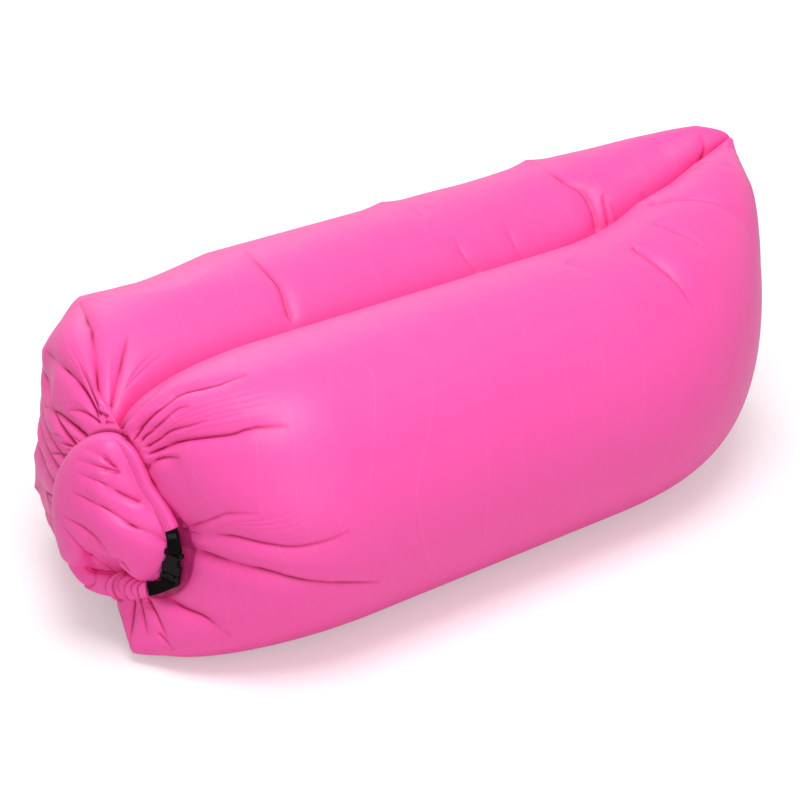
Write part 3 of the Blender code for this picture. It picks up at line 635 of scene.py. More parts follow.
# by pixels of the photograph: place, height, reach and sharpness of each peak or hollow
frontSwells = [
    ((133, 652), 0.014, 0.060, 1.7), ((165, 495), 0.012, 0.070, 1.1), ((750, 195), 0.007, 0.130, 1.0),
    ((735, 150), -0.008, 0.080, 1.0), ((732, 142), -0.008, 0.032, 1.0), ((640, 205), 0.008, 0.080, 1.0),
    ((700, 260), 0.006, 0.080, 1.0), ((150, 455), 0.012, 0.045, 1.0), ((134, 438), 0.007, 0.034, 1.0),
]
backSwells = [
    ((80, 298), 0.009, 0.064, 1.7), ((45, 350), 0.008, 0.070, 1.7), ((44, 383), -0.011, 0.060, 1.2),
    ((36, 455), 0.009, 0.075, 1.1), ((34, 487), 0.007, 0.050, 1.7), ((50, 556), -0.030, 0.120, 0.8),
    ((140, 270), -0.020, 0.140, 1.0),
    ((380, 200), 0.006, 0.050, 1.7), ((525, 158), 0.007, 0.050, 1.7), ((695, 128), 0.010, 0.090, 1.0),
    ((590, 148), -0.008, 0.120, 1.0),
]
gathers = dict(
    count=64, length=(0.020, 0.120), depth=(0.0025, 0.0075), width=(0.006, 0.020),
    rows=60, behind=2,                  # rows of the grid that they run along, and from how far behind the edge
    jitter=0.3, drift=0.02,             # how unevenly they start, and how far round the tube they wander
    lengths=[0.5, 1.0, 1.0],            # one in three is shorter
    samples=14, points=10, rootShare=0.5, tipShare=1.3,     # points read and kept, and shares of the width
    smooth=[(126, 440, 200, 600), (92, 400, 132, 442), (88, 552, 131, 614)],    # boxes of pixels where none starts
    hidden=False, facing=-1.6,          # whether only those on hidden sides stay, and what counts as hidden
    high=1.0,                           # none starts higher than this
    rootDark=0.010, rootShade=0.8,      # how far out of the neck the cloth keeps a painted shade, and how dark
    pinned=(0.010, 0.080),              # no dips this near the middle plane, this close to the head end
)
# longer creases on the sides that the photograph doesn't show
seamPleats = dict(gathers, count=46, length=(0.08, 0.22), depth=(0.004, 0.011), width=(0.012, 0.032), rows=120,
                  high=0.40)
unseen = dict(gathers, count=26, length=(0.25, 0.62), depth=(0.010, 0.018), width=(0.024, 0.050), rows=300,
              headRows=180, hidden=True)


def gatherLines(grid, rows, chance, pleats):
    # pleats all round an edge of the cloth, along the grid's columns, even but for the jitter
    lines, columns = [], grid.shape[1]
    starts = np.arange(pleats["count"]) + chance.uniform(-pleats["jitter"], pleats["jitter"], pleats["count"])
    for column in starts / pleats["count"]:
        length = chance.uniform(*pleats["length"]) * chance.choice(pleats["lengths"])
        drift = chance.uniform(-pleats["drift"], pleats["drift"])
        share = np.linspace(0, 1, pleats["samples"])
        place = ((column + drift * share) * columns).astype(int) % columns
        path = grid[rows[0] + (share * (rows[1] - rows[0])).astype(int), place]
        run = np.concatenate([[0], np.cumsum(np.linalg.norm(np.diff(path, axis=0), axis=-1))])
        keep = max(2, int((run < length).sum()))
        width, depth = chance.uniform(*pleats["width"]), chance.uniform(*pleats["depth"])
        across, down, _ = inPhoto(path[0])
        out = path[-1] - grid[rows[1]].mean(0)
        shown = ((cameraPlace - path[-1]) * out).sum() > pleats["facing"] * np.linalg.norm(out)
        boxed = any(left < across < right and top < down < low for left, top, right, low in pleats["smooth"])
        if not (boxed or shown and pleats["hidden"] or path[0][2] > pleats["high"]):
            lines.append((roundedLine(path[:keep], pleats["points"]), depth, width * pleats["rootShare"],
                          width * pleats["tipShare"]))
    return lines


# ---- surfaces as meshes

def tipped(values):
    # a grid's values one after another, and the means of its first and last rows for the two tips
    flat = values.reshape(-1, values.shape[-1])
    return np.concatenate([flat, [values[0].mean(0), values[-1].mean(0)]])


def addSurface(name, grid, uv, paintedShadeMask):
    # a grid of quads round a shape, turned to face outwards, with a fan of triangles to a point at each end
    rows, columns = grid.shape[:2]
    around = np.roll(grid, -1, 1) - grid
    if (np.cross(around, np.gradient(grid, axis=0)) * (grid - grid.mean(1, keepdims=True))).sum() < 0:
        grid, uv, paintedShadeMask = grid[:, ::-1], uv[:, ::-1], paintedShadeMask[:, ::-1]
    index = np.arange(rows * columns).reshape(rows, columns)
    across = np.roll(index, -1, 1)
    corners = [np.stack([index[:-1], across[:-1], across[1:], index[1:]], -1).reshape(-1)]
    for tip, edge in enumerate((index[0][::-1], index[-1])):
        corners.append(np.stack([edge, np.roll(edge, -1), np.full(columns, index.size + tip)], -1).reshape(-1))
    corners = np.concatenate(corners)
    sizes = np.repeat([4, 3], [(rows - 1) * columns, 2 * columns])
    points, flat, shades = tipped(grid), tipped(uv), tipped(paintedShadeMask[..., None])[:, 0]
    mesh = bpy.data.meshes.new(name)
    mesh.vertices.add(len(points))
    mesh.vertices.foreach_set("co", points.astype(np.float32).reshape(-1))
    mesh.loops.add(len(corners))
    mesh.loops.foreach_set("vertex_index", corners.astype(np.int32))
    mesh.polygons.add(len(sizes))
    starts = np.concatenate([[0], np.cumsum(sizes)[:-1]])
    mesh.polygons.foreach_set("loop_start", starts.astype(np.int32))
    mesh.update(calc_edges=True)
    layer = mesh.uv_layers.new(name="cloth")
    layer.uv.foreach_set("vector", flat[corners].astype(np.float32).reshape(-1))
    # painted shade of creases, folds and wrap edges, kept on each point for the cloth's colour
    shade = mesh.attributes.new("paintedShade", "FLOAT", "POINT")
    shade.data.foreach_set("value", shades.astype(np.float32))
    mesh.shade_smooth()
    mesh.validate()
    piece = bpy.data.objects.new(name, mesh)
    bpy.context.scene.collection.objects.link(piece)
    return piece


def clothUv(grid):
    # distances along and around the cloth, in metres
    along = np.linalg.norm(np.diff(grid, axis=0), axis=-1).mean(1)
    along = np.concatenate([[0], np.cumsum(along)])
    around = np.linalg.norm(np.roll(grid, -1, 1) - grid, axis=-1)[len(grid) // 2]
    around = np.cumsum(around)
    return np.stack(np.meshgrid(around, along), -1)


def dress(piece, material, slot, body, *nodes):
    # a piece's finish and body, and the CAD nodes that it stands for; the slot is not used
    piece.data.materials.clear()
    piece.data.materials.append(material)
    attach(piece, body)
    if nodes:
        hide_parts(*nodes)
    return piece


air = dict(inside=0.027, narrowShare=0.4, start=110, end=-60, rowStep=5, columnStep=7)


def bagGrid(grid, normals):
    # the film bag: the cloth's shape without its creases, drawn in behind them
    rows, columns = slice(air["start"], air["end"], air["rowStep"]), slice(None, None, air["columnStep"])
    grid, normals = grid[rows, columns], normals[rows, columns]
    narrow = np.ptp(grid[..., 1], axis=1)[:, None, None] / 2
    return grid - normals * np.minimum(air["inside"], narrow * air["narrowShare"])


def makeTube(name, node, side, creases, swells, seed, bagFinish):
    # the tube's grid, lifted by its swells and then pinched along its creases, with the film bag inside
    grid = tubeGrid(side)
    uv = clothUv(grid)
    grid = swell(grid, gridNormals(grid), swells)
    normals = gridNormals(grid)
    first = gridSize["capRows"] + gridSize["collarRows"]
    chance = np.random.default_rng(seed)
    lines = photoLines(creases, grid, normals)
    neckRow, headRow = first - gathers["behind"], gridSize["lipRows"]
    lines += gatherLines(grid, (neckRow, first + gathers["rows"]), chance, gathers)
    lines += gatherLines(grid[::-1], (headRow, seamPleats["rows"]), chance, seamPleats)
    lines += gatherLines(grid, (neckRow, first + unseen["rows"]), chance, unseen)
    lines += gatherLines(grid[::-1], (headRow, unseen["headRows"]), chance, unseen)
    bag = bagGrid(grid[first:], normals[first:])
    beside, ahead = gathers["pinned"]
    loose = np.maximum(smooth(abs(grid[..., 1]) / beside), smooth((grid[..., 0].max() - grid[..., 0]) / ahead))
    grid, paintedShadeMask = pinch(grid, normals * loose[..., None], lines)
    grid[..., 2] = grid[..., 2].clip(0)
    away = np.linalg.norm(grid - grid[first], axis=-1)
    away[:first] = 0
    # painted shade where the cloth comes out of the neck
    paintedShadeMask = np.maximum(paintedShadeMask, gathers["rootShade"] * (1 - smooth(away / gathers["rootDark"])))
    piece = addSurface(name, grid, uv, paintedShadeMask)
    dress(piece, nylonCloth(name, nylon["packedShare"]), "shell_cloth", "lounger", node)
    piece = addSurface(name.replace("Cloth", "Bag"), bag, clothUv(bag), np.zeros(bag.shape[:2]))
    dress(piece, bagFinish, "liner_film", "lounger", node.replace("tube_shell", "air_liner"))
    print(name, "made")


# ---- the cloth that bulges through the ring

dome = dict(
    columns=320, rows=150, crownRows=60, height=0.052, backShare=0.5,
    cover=(62.0, 98.0, 222.0, 244.0),       # degrees between which it lies over the roll, fading in and out
    gap=(290.0, 312.0, 358.0, 384.0),       # the same, where it draws in behind the buckle
    low=(224.0, 246.0, 294.0, 316.0),       # and where it keeps behind the lower roll
    corner=(335.0, 30.0, 0.12),             # its own bend there
    # its rim from behind: across the roll (share of its half width) and depth (share of its half thickness)
    clearRim=[(0.30, -1.02), (-0.10, 0.10), (-0.30, 0.80), (-0.62, 0.96)],
    coverRim=[(0.94, -1.02), (0.98, -0.20), (0.92, 0.40), (0.78, 0.90)],
    gapRim=[(0.20, -1.02), (0.30, -0.75), (0.24, -0.40), (0.02, -0.10)],
    lowRim=[(0.10, -1.02), (-0.40, -0.95), (-0.80, -0.75), (-1.15, -0.40)],
    power=2.4, clearFull=1.30, coverFull=0.62, gapFull=0.75, lowFull=1.9,
)
roll = dict(
    halfWidth=0.02175, halfThick=0.01187, start=2.0, end=309.0, square=3.0, turns=2.25,
    layer=0.0016, sidePitch=0.0022, facePitch=0.0031, outline=44,
    # stations: degrees, and how many up to each
    stations=[(2.0, 0), (232.0, 140), (309.0, 400)],
    angles=(2.0, 20.0, 45.0, 90.0, 135.0, 205.0, 225.0, 245.0, 262.0, 285.0, 300.0, 309.0),
    widths=(0.62, 0.66, 0.70, 0.72, 0.80, 0.98, 0.80, 0.70, 0.88, 0.92, 0.72, 0.58),
    # twisted wraps: degree of the edge, its bow and slant in degrees, step and how far on it sinks
    wraps=[(256.0, -7.0, -5.0, 0.0030, 12.0), (270.0, 15.0, 1.0, 0.0095, 12.0), (277.0, 9.0, -1.0, 0.0030, 5.0),
           (284.0, 9.0, 2.0, 0.0062, 6.0), (291.0, 5.0, -3.0, 0.0062, 6.0), (297.5, 6.0, -1.0, 0.0050, 7.0),
           (303.0, 3.0, -2.5, 0.0040, 4.0)],
    wrapKept=0.35,                          # share of the last wrap that the next one rises from
    wrapWobble=0.8, wobbles=3,              # degrees that an edge strays, so many times round
    wrapEdge=0.9, edgeAhead=0.3,            # width and lead in degrees of the painted shade line at a wrap's edge
    fullShadeStep=0.0042, shadeDarkness=0.8,              # step whose edge takes the full painted shade, and how dark that shade is
    wrinkleDepth=0.0005, wrinklePitch=3.1, wrinkleSway=1.7, wrinkleStart=0.4, wrinkleSlow=9000,
    thinning=0.25,                          # how far its thickness follows its width
    clothAround=0.2, clothAlong=0.11,       # metres of cloth round it, and along it a radian
)
# as the tubes' creases; a fifth number is the share of its way over which it deepens
domeCreases = [
    ([(140, 502), (122, 494), (100, 483), (77, 472)], 0.010, 0.016, 0.030),
    ([(167, 542), (134, 526), (105, 509), (85, 499), (72, 491)], 0.013, 0.018, 0.034),
    ([(129, 572), (119, 563), (108, 553), (95, 540), (82, 528), (62, 515)], 0.012, 0.016, 0.030, 1.0, 0.35),
    ([(112, 571), (102, 565), (92, 558), (81, 549), (72, 539), (62, 524)], 0.010, 0.012, 0.024, 1.0, 0.25),
    ([(118, 469), (105, 459), (85, 447)], 0.010, 0.012, 0.022),
    ([(120, 472), (100, 467), (76, 459)], 0.009, 0.012, 0.022),
    ([(116, 468), (107, 457), (102, 451)], 0.008, 0.009, 0.014),
    ([(121, 474), (104, 471), (80, 465)], 0.007, 0.009, 0.018),
]


def between(degrees, steps):
    # 1 between the middle two of four angles, easing to 0 at the outer two
    low, full, last, high = steps
    degrees = np.where(degrees < high - 360, degrees + 360, degrees)
    return smooth((degrees - low) / (full - low)) * (1 - smooth((degrees - last) / (high - last)))


def domeGrid():
    # from behind the roll over it or along its inner edge, then height (1 - radius^power)^fullness to the crown
    angle = np.linspace(0, 2 * math.pi, dome["columns"], endpoint=False)
    degrees = np.degrees(angle)
    cover, gap, under = (between(degrees, dome[name]) for name in ("cover", "gap", "low"))
    path, across = (np.array(way(angle)) * (1 - gap) + np.array(way(angle, dome["corner"])) * gap
                    for way in (ringPath, ringAcross))
    wide = np.interp(degrees, roll["angles"], roll["widths"], period=360) * roll["halfWidth"]
    wide = wide + (roll["halfWidth"] - wide) * gap
    rows = []
    for clear, over, behind, below in zip(*(dome[name] for name in ("clearRim", "coverRim", "gapRim", "lowRim"))):
        out, depth = (clear[k] + (over[k] - clear[k]) * cover + (behind[k] - clear[k]) * gap
                      + (below[k] - clear[k]) * under * (1 - gap) * (1 - cover) for k in (0, 1))
        rows.append(np.stack([*(path + wide * out * across), roll["halfThick"] * depth], -1))
    edge = rows[-1]
    full = dome["clearFull"] + (dome["coverFull"] - dome["clearFull"]) * cover
    full = full + (dome["gapFull"] - dome["clearFull"]) * gap
    full = full + (dome["lowFull"] - dome["clearFull"]) * under * (1 - gap) * (1 - cover)
    for radius in np.cos(np.linspace(0, math.pi / 2, dome["crownRows"]))[1:]:
        height = edge[:, 2] + (dome["height"] - edge[:, 2]) * (1 - radius ** dome["power"]) ** full
        rows.append(np.stack([edge[:, 0] * radius, edge[:, 1] * radius, height], -1))
    rows = evenRows(np.array(rows), dome["rows"], 1.0)[:-1]
    back = rows[0] * [dome["backShare"], dome["backShare"], 1.0]
    rows = np.concatenate([back[None], rows])
    return ringPoint(rows[..., 0], rows[..., 1], rows[..., 2])


def makeDome():
    # the dome's grid, pinched along its creases
    grid = domeGrid()
    uv = clothUv(grid)
    normals = gridNormals(grid)
    grid, paintedShadeMask = pinch(grid, normals, photoLines(domeCreases, grid, normals))
    piece = addSurface("mouthDomeCloth", grid, uv, paintedShadeMask)
    dress(piece, nylonCloth("mouthDomeCloth"), "shell_cloth", "lounger", "front_mouth_cloth")
    print("dome made")


# ---- the rolled mouth

def rollGrid():
    # flattened spiral, |cos|^n + |sin|^n = 1 shrinking by a pitch a turn, out and back, carried along the ring
    count = int(roll["turns"] * roll["outline"]) + 1
    turn = math.pi + np.arange(count) * 2 * math.pi / roll["outline"]
    square = roll["square"]
    bulge = (abs(np.cos(turn)) ** square + abs(np.sin(turn)) ** square) ** (-1 / square)
    done = (turn - math.pi) / (2 * math.pi)
    loops = []
    for layer in (0.0, roll["layer"]):
        loops.append(np.stack([(roll["halfWidth"] - roll["sidePitch"] * done - layer) * bulge * np.cos(turn),
                               (roll["halfThick"] - roll["facePitch"] * done - layer) * bulge * np.sin(turn)]))
    outline = np.concatenate([loops[0], loops[1][:, ::-1]], 1)
    degrees, count = zip(*roll["stations"])
    angle = np.radians(np.interp(np.arange(count[-1] + 1), count, degrees))
    turns = np.concatenate([turn, turn[::-1]])
    return outline, angle, turns


def makeRoll():
    # the spiral as wide as each station says, raised by its wraps and sunk by fine wrinkles 1 - sqrt|sin|
    outline, angle, turns = rollGrid()
    degrees = np.degrees(angle)
    share = np.interp(degrees, roll["angles"], roll["widths"])
    # each wrap rises sharply at its edge and sinks by exp(-on / reach), with a painted shade line along its edge
    rise, paintedShadeMask = np.zeros((len(angle), len(turns))), np.zeros((len(angle), len(turns)))
    for edge, bow, slant, step, reach in roll["wraps"]:
        on = degrees[:, None] - edge - bow * np.cos(turns) ** 2 - slant * np.cos(turns)
        on = on + roll["wrapWobble"] * np.sin(roll["wobbles"] * turns + edge)
        wrap = np.maximum(rise * roll["wrapKept"], step * np.exp(-on.clip(0) / reach))
        rise = np.where(on < 0, rise, wrap)
        # painted shade line just ahead of the wrap's edge
        line = np.exp(-((on + roll["edgeAhead"]) / roll["wrapEdge"]) ** 2)
        paintedShadeMask = np.maximum(paintedShadeMask, (step / roll["fullShadeStep"]) ** 0.5 * line)
    sway = roll["wrinkleSway"] * np.sin(turns * 0.5 + roll["wrinkleStart"])
    phase = degrees[:, None] / roll["wrinklePitch"] + sway[None] + degrees[:, None] ** 2 / roll["wrinkleSlow"]
    fine = 1 - np.sqrt(np.abs(np.sin(phase)))
    sink = roll["wrinkleDepth"] * fine - rise
    size = np.hypot(*outline)
    shrink = 1 - sink / size
    path, across = np.array(ringPath(angle)), np.array(ringAcross(angle))
    out = outline[0] * share[:, None] * shrink
    thick = outline[1] * (1 - roll["thinning"] + roll["thinning"] * share[:, None]) * shrink
    level, up = (path[k][:, None] + out * across[k][:, None] for k in (0, 1))
    grid = ringPoint(level, up, thick)
    around, along = np.linspace(0, roll["clothAround"], grid.shape[1]), angle * roll["clothAlong"]
    uv = np.stack(np.meshgrid(around, along), -1)
    piece = addSurface("rolledMouth", grid, uv, roll["shadeDarkness"] * paintedShadeMask.clip(0, 1))
    dress(piece, nylonCloth("rolledMouth"), "shell_cloth", "lounger", "mouth_roll")
    print("roll made")


# ---- webbing, buckle and thread

strap = dict(
    width=0.025, thick=0.0012,
    lap=0.016, length=0.034,            # how far it lies in the roll, and its way down to the buckle
    step=0.012, lead=0.010,             # how far it steps inwards, and where it bends
    spread=0.30, gap=0.0003,            # share of it in which its two layers part, and its play
    rows=90, bendRows=25, outline=36, edgeRound=0.35, faceRound=0.55,
)
buckle = dict(
    lean=6.5,                           # degrees off the ring's rising direction
    barDepth=0.0034, barThick=0.0030, slot=0.0044,
    socketLength=0.039, plugLength=0.017, thick=0.0095, travel=0.0010,
)
lean = math.radians(buckle["lean"])
buckleDown = -ringRise * math.cos(lean) - ringLevel * math.sin(lean)
buckleAcross = ringRise * math.sin(lean) - ringLevel * math.cos(lean)
strapStart = np.array(ringPath(math.radians(roll["start"])))
buckleOrigin = ringPoint(*strapStart, 0.0) + buckleDown * strap["length"] - buckleAcross * strap["step"]


def bucklePoint(x, y, z):
    # a point by its place across, along and out of the buckle's face
    x, y, z = (np.asarray(value, float)[..., None] for value in (x, y, z))
    return buckleOrigin + x * buckleAcross + y * buckleDown + z * ringOut


def inRing(x, y):
    # the same place in the ring's level and rising directions
    away = bucklePoint(x, y, 0.0) - ringCentre
    return np.array([away @ ringLevel, away @ ringRise])


def strapGrid(line, startAcross, bar, down, slack):
    # out along a bent line between the stiffeners, round the bar on a half turn and back: an outline
    # |cos|^edgeRound wide and |sin|^faceRound thick carried along it
    start, control = line
    wide = buckle["barThick"] / 2 + strap["gap"] + strap["thick"] / 2
    near = strap["thick"] / 2 + strap["gap"] / 2
    end = bar - down * (buckle["barDepth"] + strap["gap"])
    barAcross = inRing(1.0, 0.0) - inRing(0.0, 0.0)
    barAcross = barAcross * np.sign(barAcross @ startAcross)
    share = np.append(np.linspace(0, 1, strap["rows"]), 1.0)[:, None]
    middle = (1 - share) ** 2 * start + 2 * share * (1 - share) * control + share ** 2 * end
    middle[-1] = bar
    across = unit(startAcross * (1 - share) + barAcross * share)
    deep = near + (wide - near) * smooth(1 - (1 - share[:, 0]) / strap["spread"])
    turn = np.linspace(0, math.pi, strap["bendRows"])[1:-1]
    reach = (buckle["barDepth"] / 2 + slack + strap["thick"] / 2) * np.sqrt(np.sin(turn))
    bendDeep = wide * np.sign(np.cos(turn)) * np.sqrt(abs(np.cos(turn)))
    facing = np.concatenate([np.zeros(len(share)), np.sin(turn), np.zeros(len(share))])
    lift = np.concatenate([np.ones(len(share)), np.cos(turn), -np.ones(len(share))])
    middle = np.concatenate([middle, bar + down * reach[:, None], middle[::-1]])
    across = np.concatenate([across, np.repeat(barAcross[None], len(turn), 0), across[::-1]])
    deep = np.concatenate([deep, bendDeep, -deep[::-1]])
    around = np.linspace(0, 2 * math.pi, strap["outline"], endpoint=False)
    out = np.sign(np.cos(around)) * abs(np.cos(around)) ** strap["edgeRound"] * strap["width"] / 2
    up = np.sign(np.sin(around)) * abs(np.sin(around)) ** strap["faceRound"] * strap["thick"] / 2
    flat = middle[:, None] + across[:, None] * out[:, None] + (down * facing[:, None])[:, None] * up[:, None]
    grid = ringPoint(flat[..., 0], flat[..., 1], deep[:, None] + lift[:, None] * up)
    run = np.concatenate([[0], np.cumsum(np.linalg.norm(np.diff(grid.mean(1), axis=0), axis=-1))])
    return grid, np.stack([out + 0 * run[:, None], run[:, None] + 0 * out], -1)


def strapLine(degrees, way, lead):
    # its start half a lap inside the roll, its bend a lead beyond the roll's end, and the direction across it
    angle = math.radians(degrees)
    across = np.array(ringAcross(angle))
    tail = np.array(ringPath(angle + way * strap["lap"] / 2 / ring["halfWidth"]))
    return (tail, np.array(ringPath(angle)) + way * np.array([across[1], -across[0]]) * lead), -way * across


def makeStraps():
    # each strap from its end of the roll round its bar of the buckle
    down = inRing(0.0, 1.0) - inRing(0.0, 0.0)
    upper, upperAcross = strapLine(roll["start"], 1, strap["lead"])
    lower, lowerAcross = strapLine(roll["end"], -1, buckle["slot"])
    plugEnd = buckle["socketLength"] + buckle["travel"] + strap["gap"] + buckle["plugLength"]
    socketBar, plugBar = inRing(0.0, buckle["barDepth"] / 2), inRing(0.0, plugEnd - buckle["barDepth"] / 2)
    cloth = webbingCloth()
    slide = buckle["travel"] + 3 * strap["gap"]
    for name, node, line, across, bar, way, slack in (
            ("upperStrap", "upper_webbing", upper, upperAcross, socketBar, down, strap["gap"]),
            ("lowerStrap", "lower_webbing", lower, lowerAcross, plugBar, -down, slide)):
        grid, uv = strapGrid(line, across, bar, way, slack)
        piece = addSurface(name, grid, uv, np.zeros(grid.shape[:2]))
        dress(piece, cloth, "webbing", "lounger", node)


tack = dict(width=0.017, length=0.0100, teeth=9, place=0.50, radius=0.00032, sides=8, lift=0.00175, wave=0.0002,
            steps=12, clothAround=0.002, clothAlong=0.3)


def cordGrid(points, radius, sides, out):
    # a circle carried along a line, its frame from the line's direction and a fixed outward one
    ahead = unit(np.gradient(points, axis=0))
    side = unit(np.cross(ahead, out))
    around = np.linspace(0, 2 * math.pi, sides, endpoint=False)[None, :, None]
    circle = np.cos(around) * side[:, None] + np.sin(around) * np.cross(side, ahead)[:, None]
    return points[:, None] + radius * circle


def makeTack():
    # zigzag of thread over the upper strap, height |sin| where it dips into the cloth
    (tail, control), _ = strapLine(roll["start"], 1, strap["lead"])
    end = inRing(0.0, -buckle["barDepth"] / 2)
    share = tack["place"]
    middle = (1 - share) ** 2 * tail + 2 * share * (1 - share) * control + share ** 2 * end
    down = unit((1 - share) * (control - tail) + share * (end - control))
    step = np.linspace(0, 2 * tack["teeth"], 2 * tack["teeth"] * tack["steps"] + 1)
    x = (step / tack["teeth"] / 2 - 0.5) * tack["width"]
    y = (abs(step % 2 - 1) - 0.5) * tack["length"]
    flat = middle + np.outer(x, [down[1], -down[0]]) + np.outer(y, down)
    points = ringPoint(flat[:, 0], flat[:, 1], tack["lift"] + tack["wave"] * abs(np.sin(math.pi * step)))
    grid = cordGrid(points, tack["radius"], tack["sides"], ringOut)
    uv = np.stack(np.meshgrid(np.linspace(0, tack["clothAround"], tack["sides"]),
                              np.linspace(0, tack["clothAlong"], len(grid))), -1)
    piece = addSurface("strapTack", grid, uv, np.zeros(grid.shape[:2]))
    dress(piece, threadFinish(), "thread", "lounger", "upper_bartack")


grips = dict(
    # superellipse pads on the faces of the buckle: place along it, half width, half length, height, roundness
    socketPads=[(0.0245, 0.0080, 0.0058, 0.00055, 3.0)],
    plugPads=[(0.0440, 0.0105, 0.00062, 0.00060, 2.4), (0.0462, 0.0105, 0.00062, 0.00060, 2.4),
              (0.0484, 0.0105, 0.00062, 0.00060, 2.4)],
    rows=14, columns=64, sunk=0.0004, foot=0.5, middle=0.02, flatness=4,
)


def padGrid(along, halfWidth, halfLength, height, roundness, side):
    # |x|^n + |y|^n = 1 shrinking to its middle, height (1 - radius^flatness), its foot sunk in the plastic
    around = np.linspace(0, 2 * math.pi, grips["columns"], endpoint=False)
    rim = (abs(np.cos(around)) ** roundness + abs(np.sin(around)) ** roundness) ** (-1 / roundness)
    radius = np.concatenate([[grips["foot"], 1.0], np.linspace(1, grips["middle"], grips["rows"])])[:, None]
    rise = np.concatenate([[-grips["sunk"]] * 2, height * (1 - radius[2:, 0] ** grips["flatness"])])[:, None]
    x, y = radius * rim * np.cos(around) * halfWidth, along + radius * rim * np.sin(around) * halfLength
    return bucklePoint(x, y, side * (buckle["thick"] / 2 + rise) + 0 * x)


def makeGrips(plastic):
    # the pads on both faces, each set riding on its own half of the buckle
    for name, body, pads in (("socketPad", "lounger", grips["socketPads"]),
                             ("plugRib", "buckle_plug", grips["plugPads"])):
        for number, pad in enumerate(pads):
            for side, face in ((1, "Face"), (-1, "Back")):
                grid = padGrid(*pad, side)
                uv = np.zeros(grid.shape[:2] + (2,))
                piece = addSurface(f"{name}{face}{number + 1}", grid, uv, np.zeros(grid.shape[:2]))
                dress(piece, plastic, "buckle_plastic", body)


# ---- the seam that closes the head end

seam = dict(depth=0.014, thick=0.0048, inner=0.012, proud=0.006, ripple=0.00045, ripplePitch=0.021, rows=240,
            outline=28, endRound=0.3, faceRound=0.6, inset=0.002, cut=0.022, taper=0.050)


def makeSeam():
    # a thin folded strip, its outline |cos|^endRound by |sin|^faceRound carried up the cleft with a slight
    # ripple, cut back towards its top
    low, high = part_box("head_end_seam")
    z = np.linspace(low[2], high[2] - seam["inset"], seam["rows"])[:, None]
    around = np.linspace(0, 2 * math.pi, seam["outline"], endpoint=False)
    back = seam["cut"] * (1 - smooth((z[-1] - z) / seam["taper"]))
    long = (high[0] + seam["proud"] - back - low[0] + seam["inner"]) / 2
    x = low[0] - seam["inner"] + long * (1 + np.sign(np.cos(around)) * abs(np.cos(around)) ** seam["endRound"])
    y = np.sign(np.sin(around)) * abs(np.sin(around)) ** seam["faceRound"] * seam["thick"] / 2
    ripple = seam["ripple"] * np.sin(z / seam["ripplePitch"] * 2 * math.pi) * (x - low[0]) / seam["depth"]
    grid = np.stack([x + 0 * z, y + ripple, z + 0 * x], -1)
    piece = addSurface("headSeamStrip", grid, clothUv(grid), np.zeros(grid.shape[:2]))
    dress(piece, nylonCloth("headSeamStrip"), "shell_cloth", "lounger", "head_end_seam")


def dressNodes(plastic):
    # CAD nodes that stay, with finer finishes
    strip = mouldedPlastic("stiffener strip", moulding["stripRoughness"])
    hidden = nylonCloth("centre web", mapped=False)
    for names, finish in ((("centre_web",), hidden),
                          (("front_stiffener_strip", "back_stiffener_strip"), strip),
                          (("buckle_socket", "buckle_plug", "left_prong", "right_prong"), plastic)):
        for name in names:
            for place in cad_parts[name].material_slots:
                place.material = finish


makeDome()
makeRoll()
makeStraps()
makeTack()
buckleFinish = mouldedPlastic("moulded plastic", moulding["buckleRoughness"])
makeGrips(buckleFinish)
makeSeam()
dressNodes(buckleFinish)
print("straps, buckle and seam made")
bagFilm = airFilm()
makeTube("frontTubeCloth", "front_tube_shell", -1, frontCreases + headCreases, frontSwells, 3, bagFilm)
makeTube("backTubeCloth", "back_tube_shell", 1, backCreases, backSwells, 5, bagFilm)


# ---- floor, light and background

ground = dict(half=12.0, colour=(0.80, 0.80, 0.80), roughness=0.9, specular=0.1,
              # metres out from which it turns white to the camera, and its glow there and beyond
              whiteFrom=0.9, whiteTo=3.0, glowNear=0.34, glowFar=0.75)
studio = dict(
    light=0.42, background=1.0,         # strength of the world on the object, and to the camera and in gloss
    aim=(0.0, 0.0, 0.2),
    # name, place, size, watts and colour
    lamps=[("key", (-0.6, -0.9, 4.0), 2.2, 94, (1.0, 1.0, 1.0)),
           ("fill", (-1.4, -3.3, 1.4), 2.6, 24, (1.0, 0.84, 0.94)),
           ("back", (0.6, 3.0, 2.6), 2.4, 24, (1.0, 1.0, 1.0))],
)


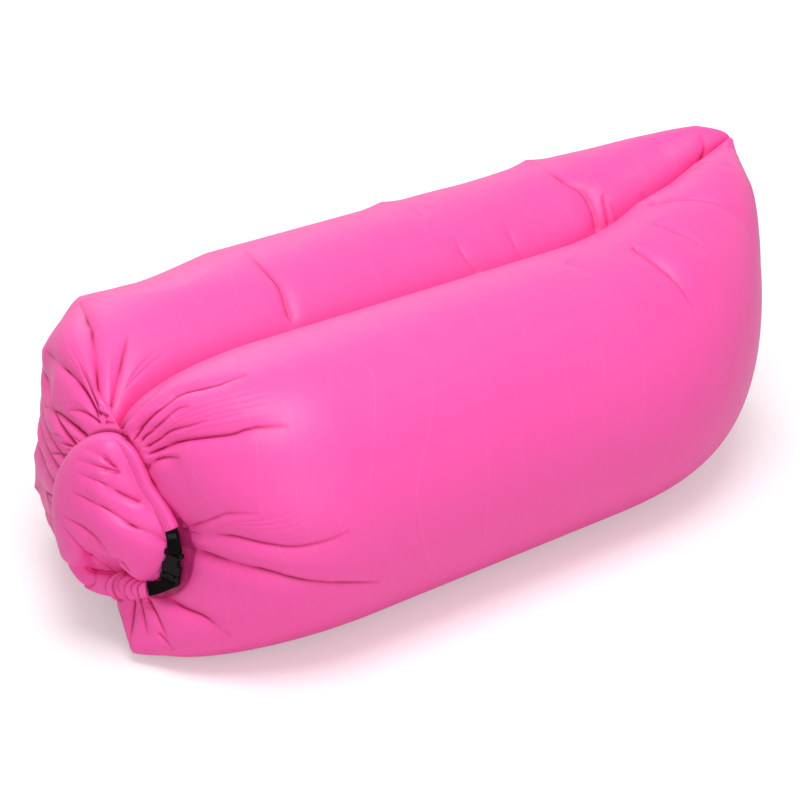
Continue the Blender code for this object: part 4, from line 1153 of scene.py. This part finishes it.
def addFloor():
    # a pale square that glows for the camera alone, more the further out, where no shadow falls
    half = ground["half"]
    mesh = bpy.data.meshes.new("floor")
    mesh.from_pydata([(-half, -half, 0), (half, -half, 0), (half, half, 0), (-half, half, 0)], [], [(0, 1, 2, 3)])
    floor = bpy.data.objects.new("floor", mesh)
    bpy.context.scene.collection.objects.link(floor)
    pale = Finish("pale floor")
    away = pale.node("VectorMath", dict(operation="LENGTH"), {0: pale.objectPlace()}, 1)
    glow = pale.node("MapRange", dict(interpolation_type="SMOOTHSTEP"), {
        0: away, 1: ground["whiteFrom"], 2: ground["whiteTo"], 3: ground["glowNear"], 4: ground["glowFar"]})
    mesh.materials.append(pale.shade({
        "Base Color": opaque(ground["colour"]), "Roughness": ground["roughness"],
        "Specular IOR Level": ground["specular"], "Emission Color": opaque((1.0, 1.0, 1.0)),
        "Emission Strength": pale.node("LightPath") * glow}))


def addWorld():
    # white to the camera and in gloss, and weaker as light on the object
    world = bpy.data.worlds.new("studio")
    bpy.context.scene.world = world
    world.use_nodes = True
    tree = world.node_tree
    background = tree.nodes["Background"]
    background.inputs["Color"].default_value = (1.0, 1.0, 1.0, 1.0)
    paths = tree.nodes.new("ShaderNodeLightPath")
    seen = tree.nodes.new("ShaderNodeMath")
    seen.operation = "MAXIMUM"
    tree.links.new(paths.outputs["Is Camera Ray"], seen.inputs[0])
    tree.links.new(paths.outputs["Is Glossy Ray"], seen.inputs[1])
    level = tree.nodes.new("ShaderNodeMapRange")
    level.inputs["To Min"].default_value = studio["light"]
    level.inputs["To Max"].default_value = studio["background"]
    tree.links.new(seen.outputs[0], level.inputs["Value"])
    tree.links.new(level.outputs[0], background.inputs["Strength"])


def addLamp(name, place, size, power, colour):
    # a disc that faces from its place to where all the lamps aim
    data = bpy.data.lights.new(name, "AREA")
    data.color = colour
    data.shape, data.size, data.energy = "DISK", size, power
    back = unit(np.array(place) - np.array(studio["aim"]))
    side = unit(np.cross([0.0, 0.0, 1.0], back))
    placed(bpy.data.objects.new(name, data), side, np.cross(back, side), back, place)


addCamera()
addFloor()
addWorld()
for lamp in studio["lamps"]:
    addLamp(*lamp)
print("floor, lamps and world made")
bpy.context.scene.view_settings.view_transform = "Standard"
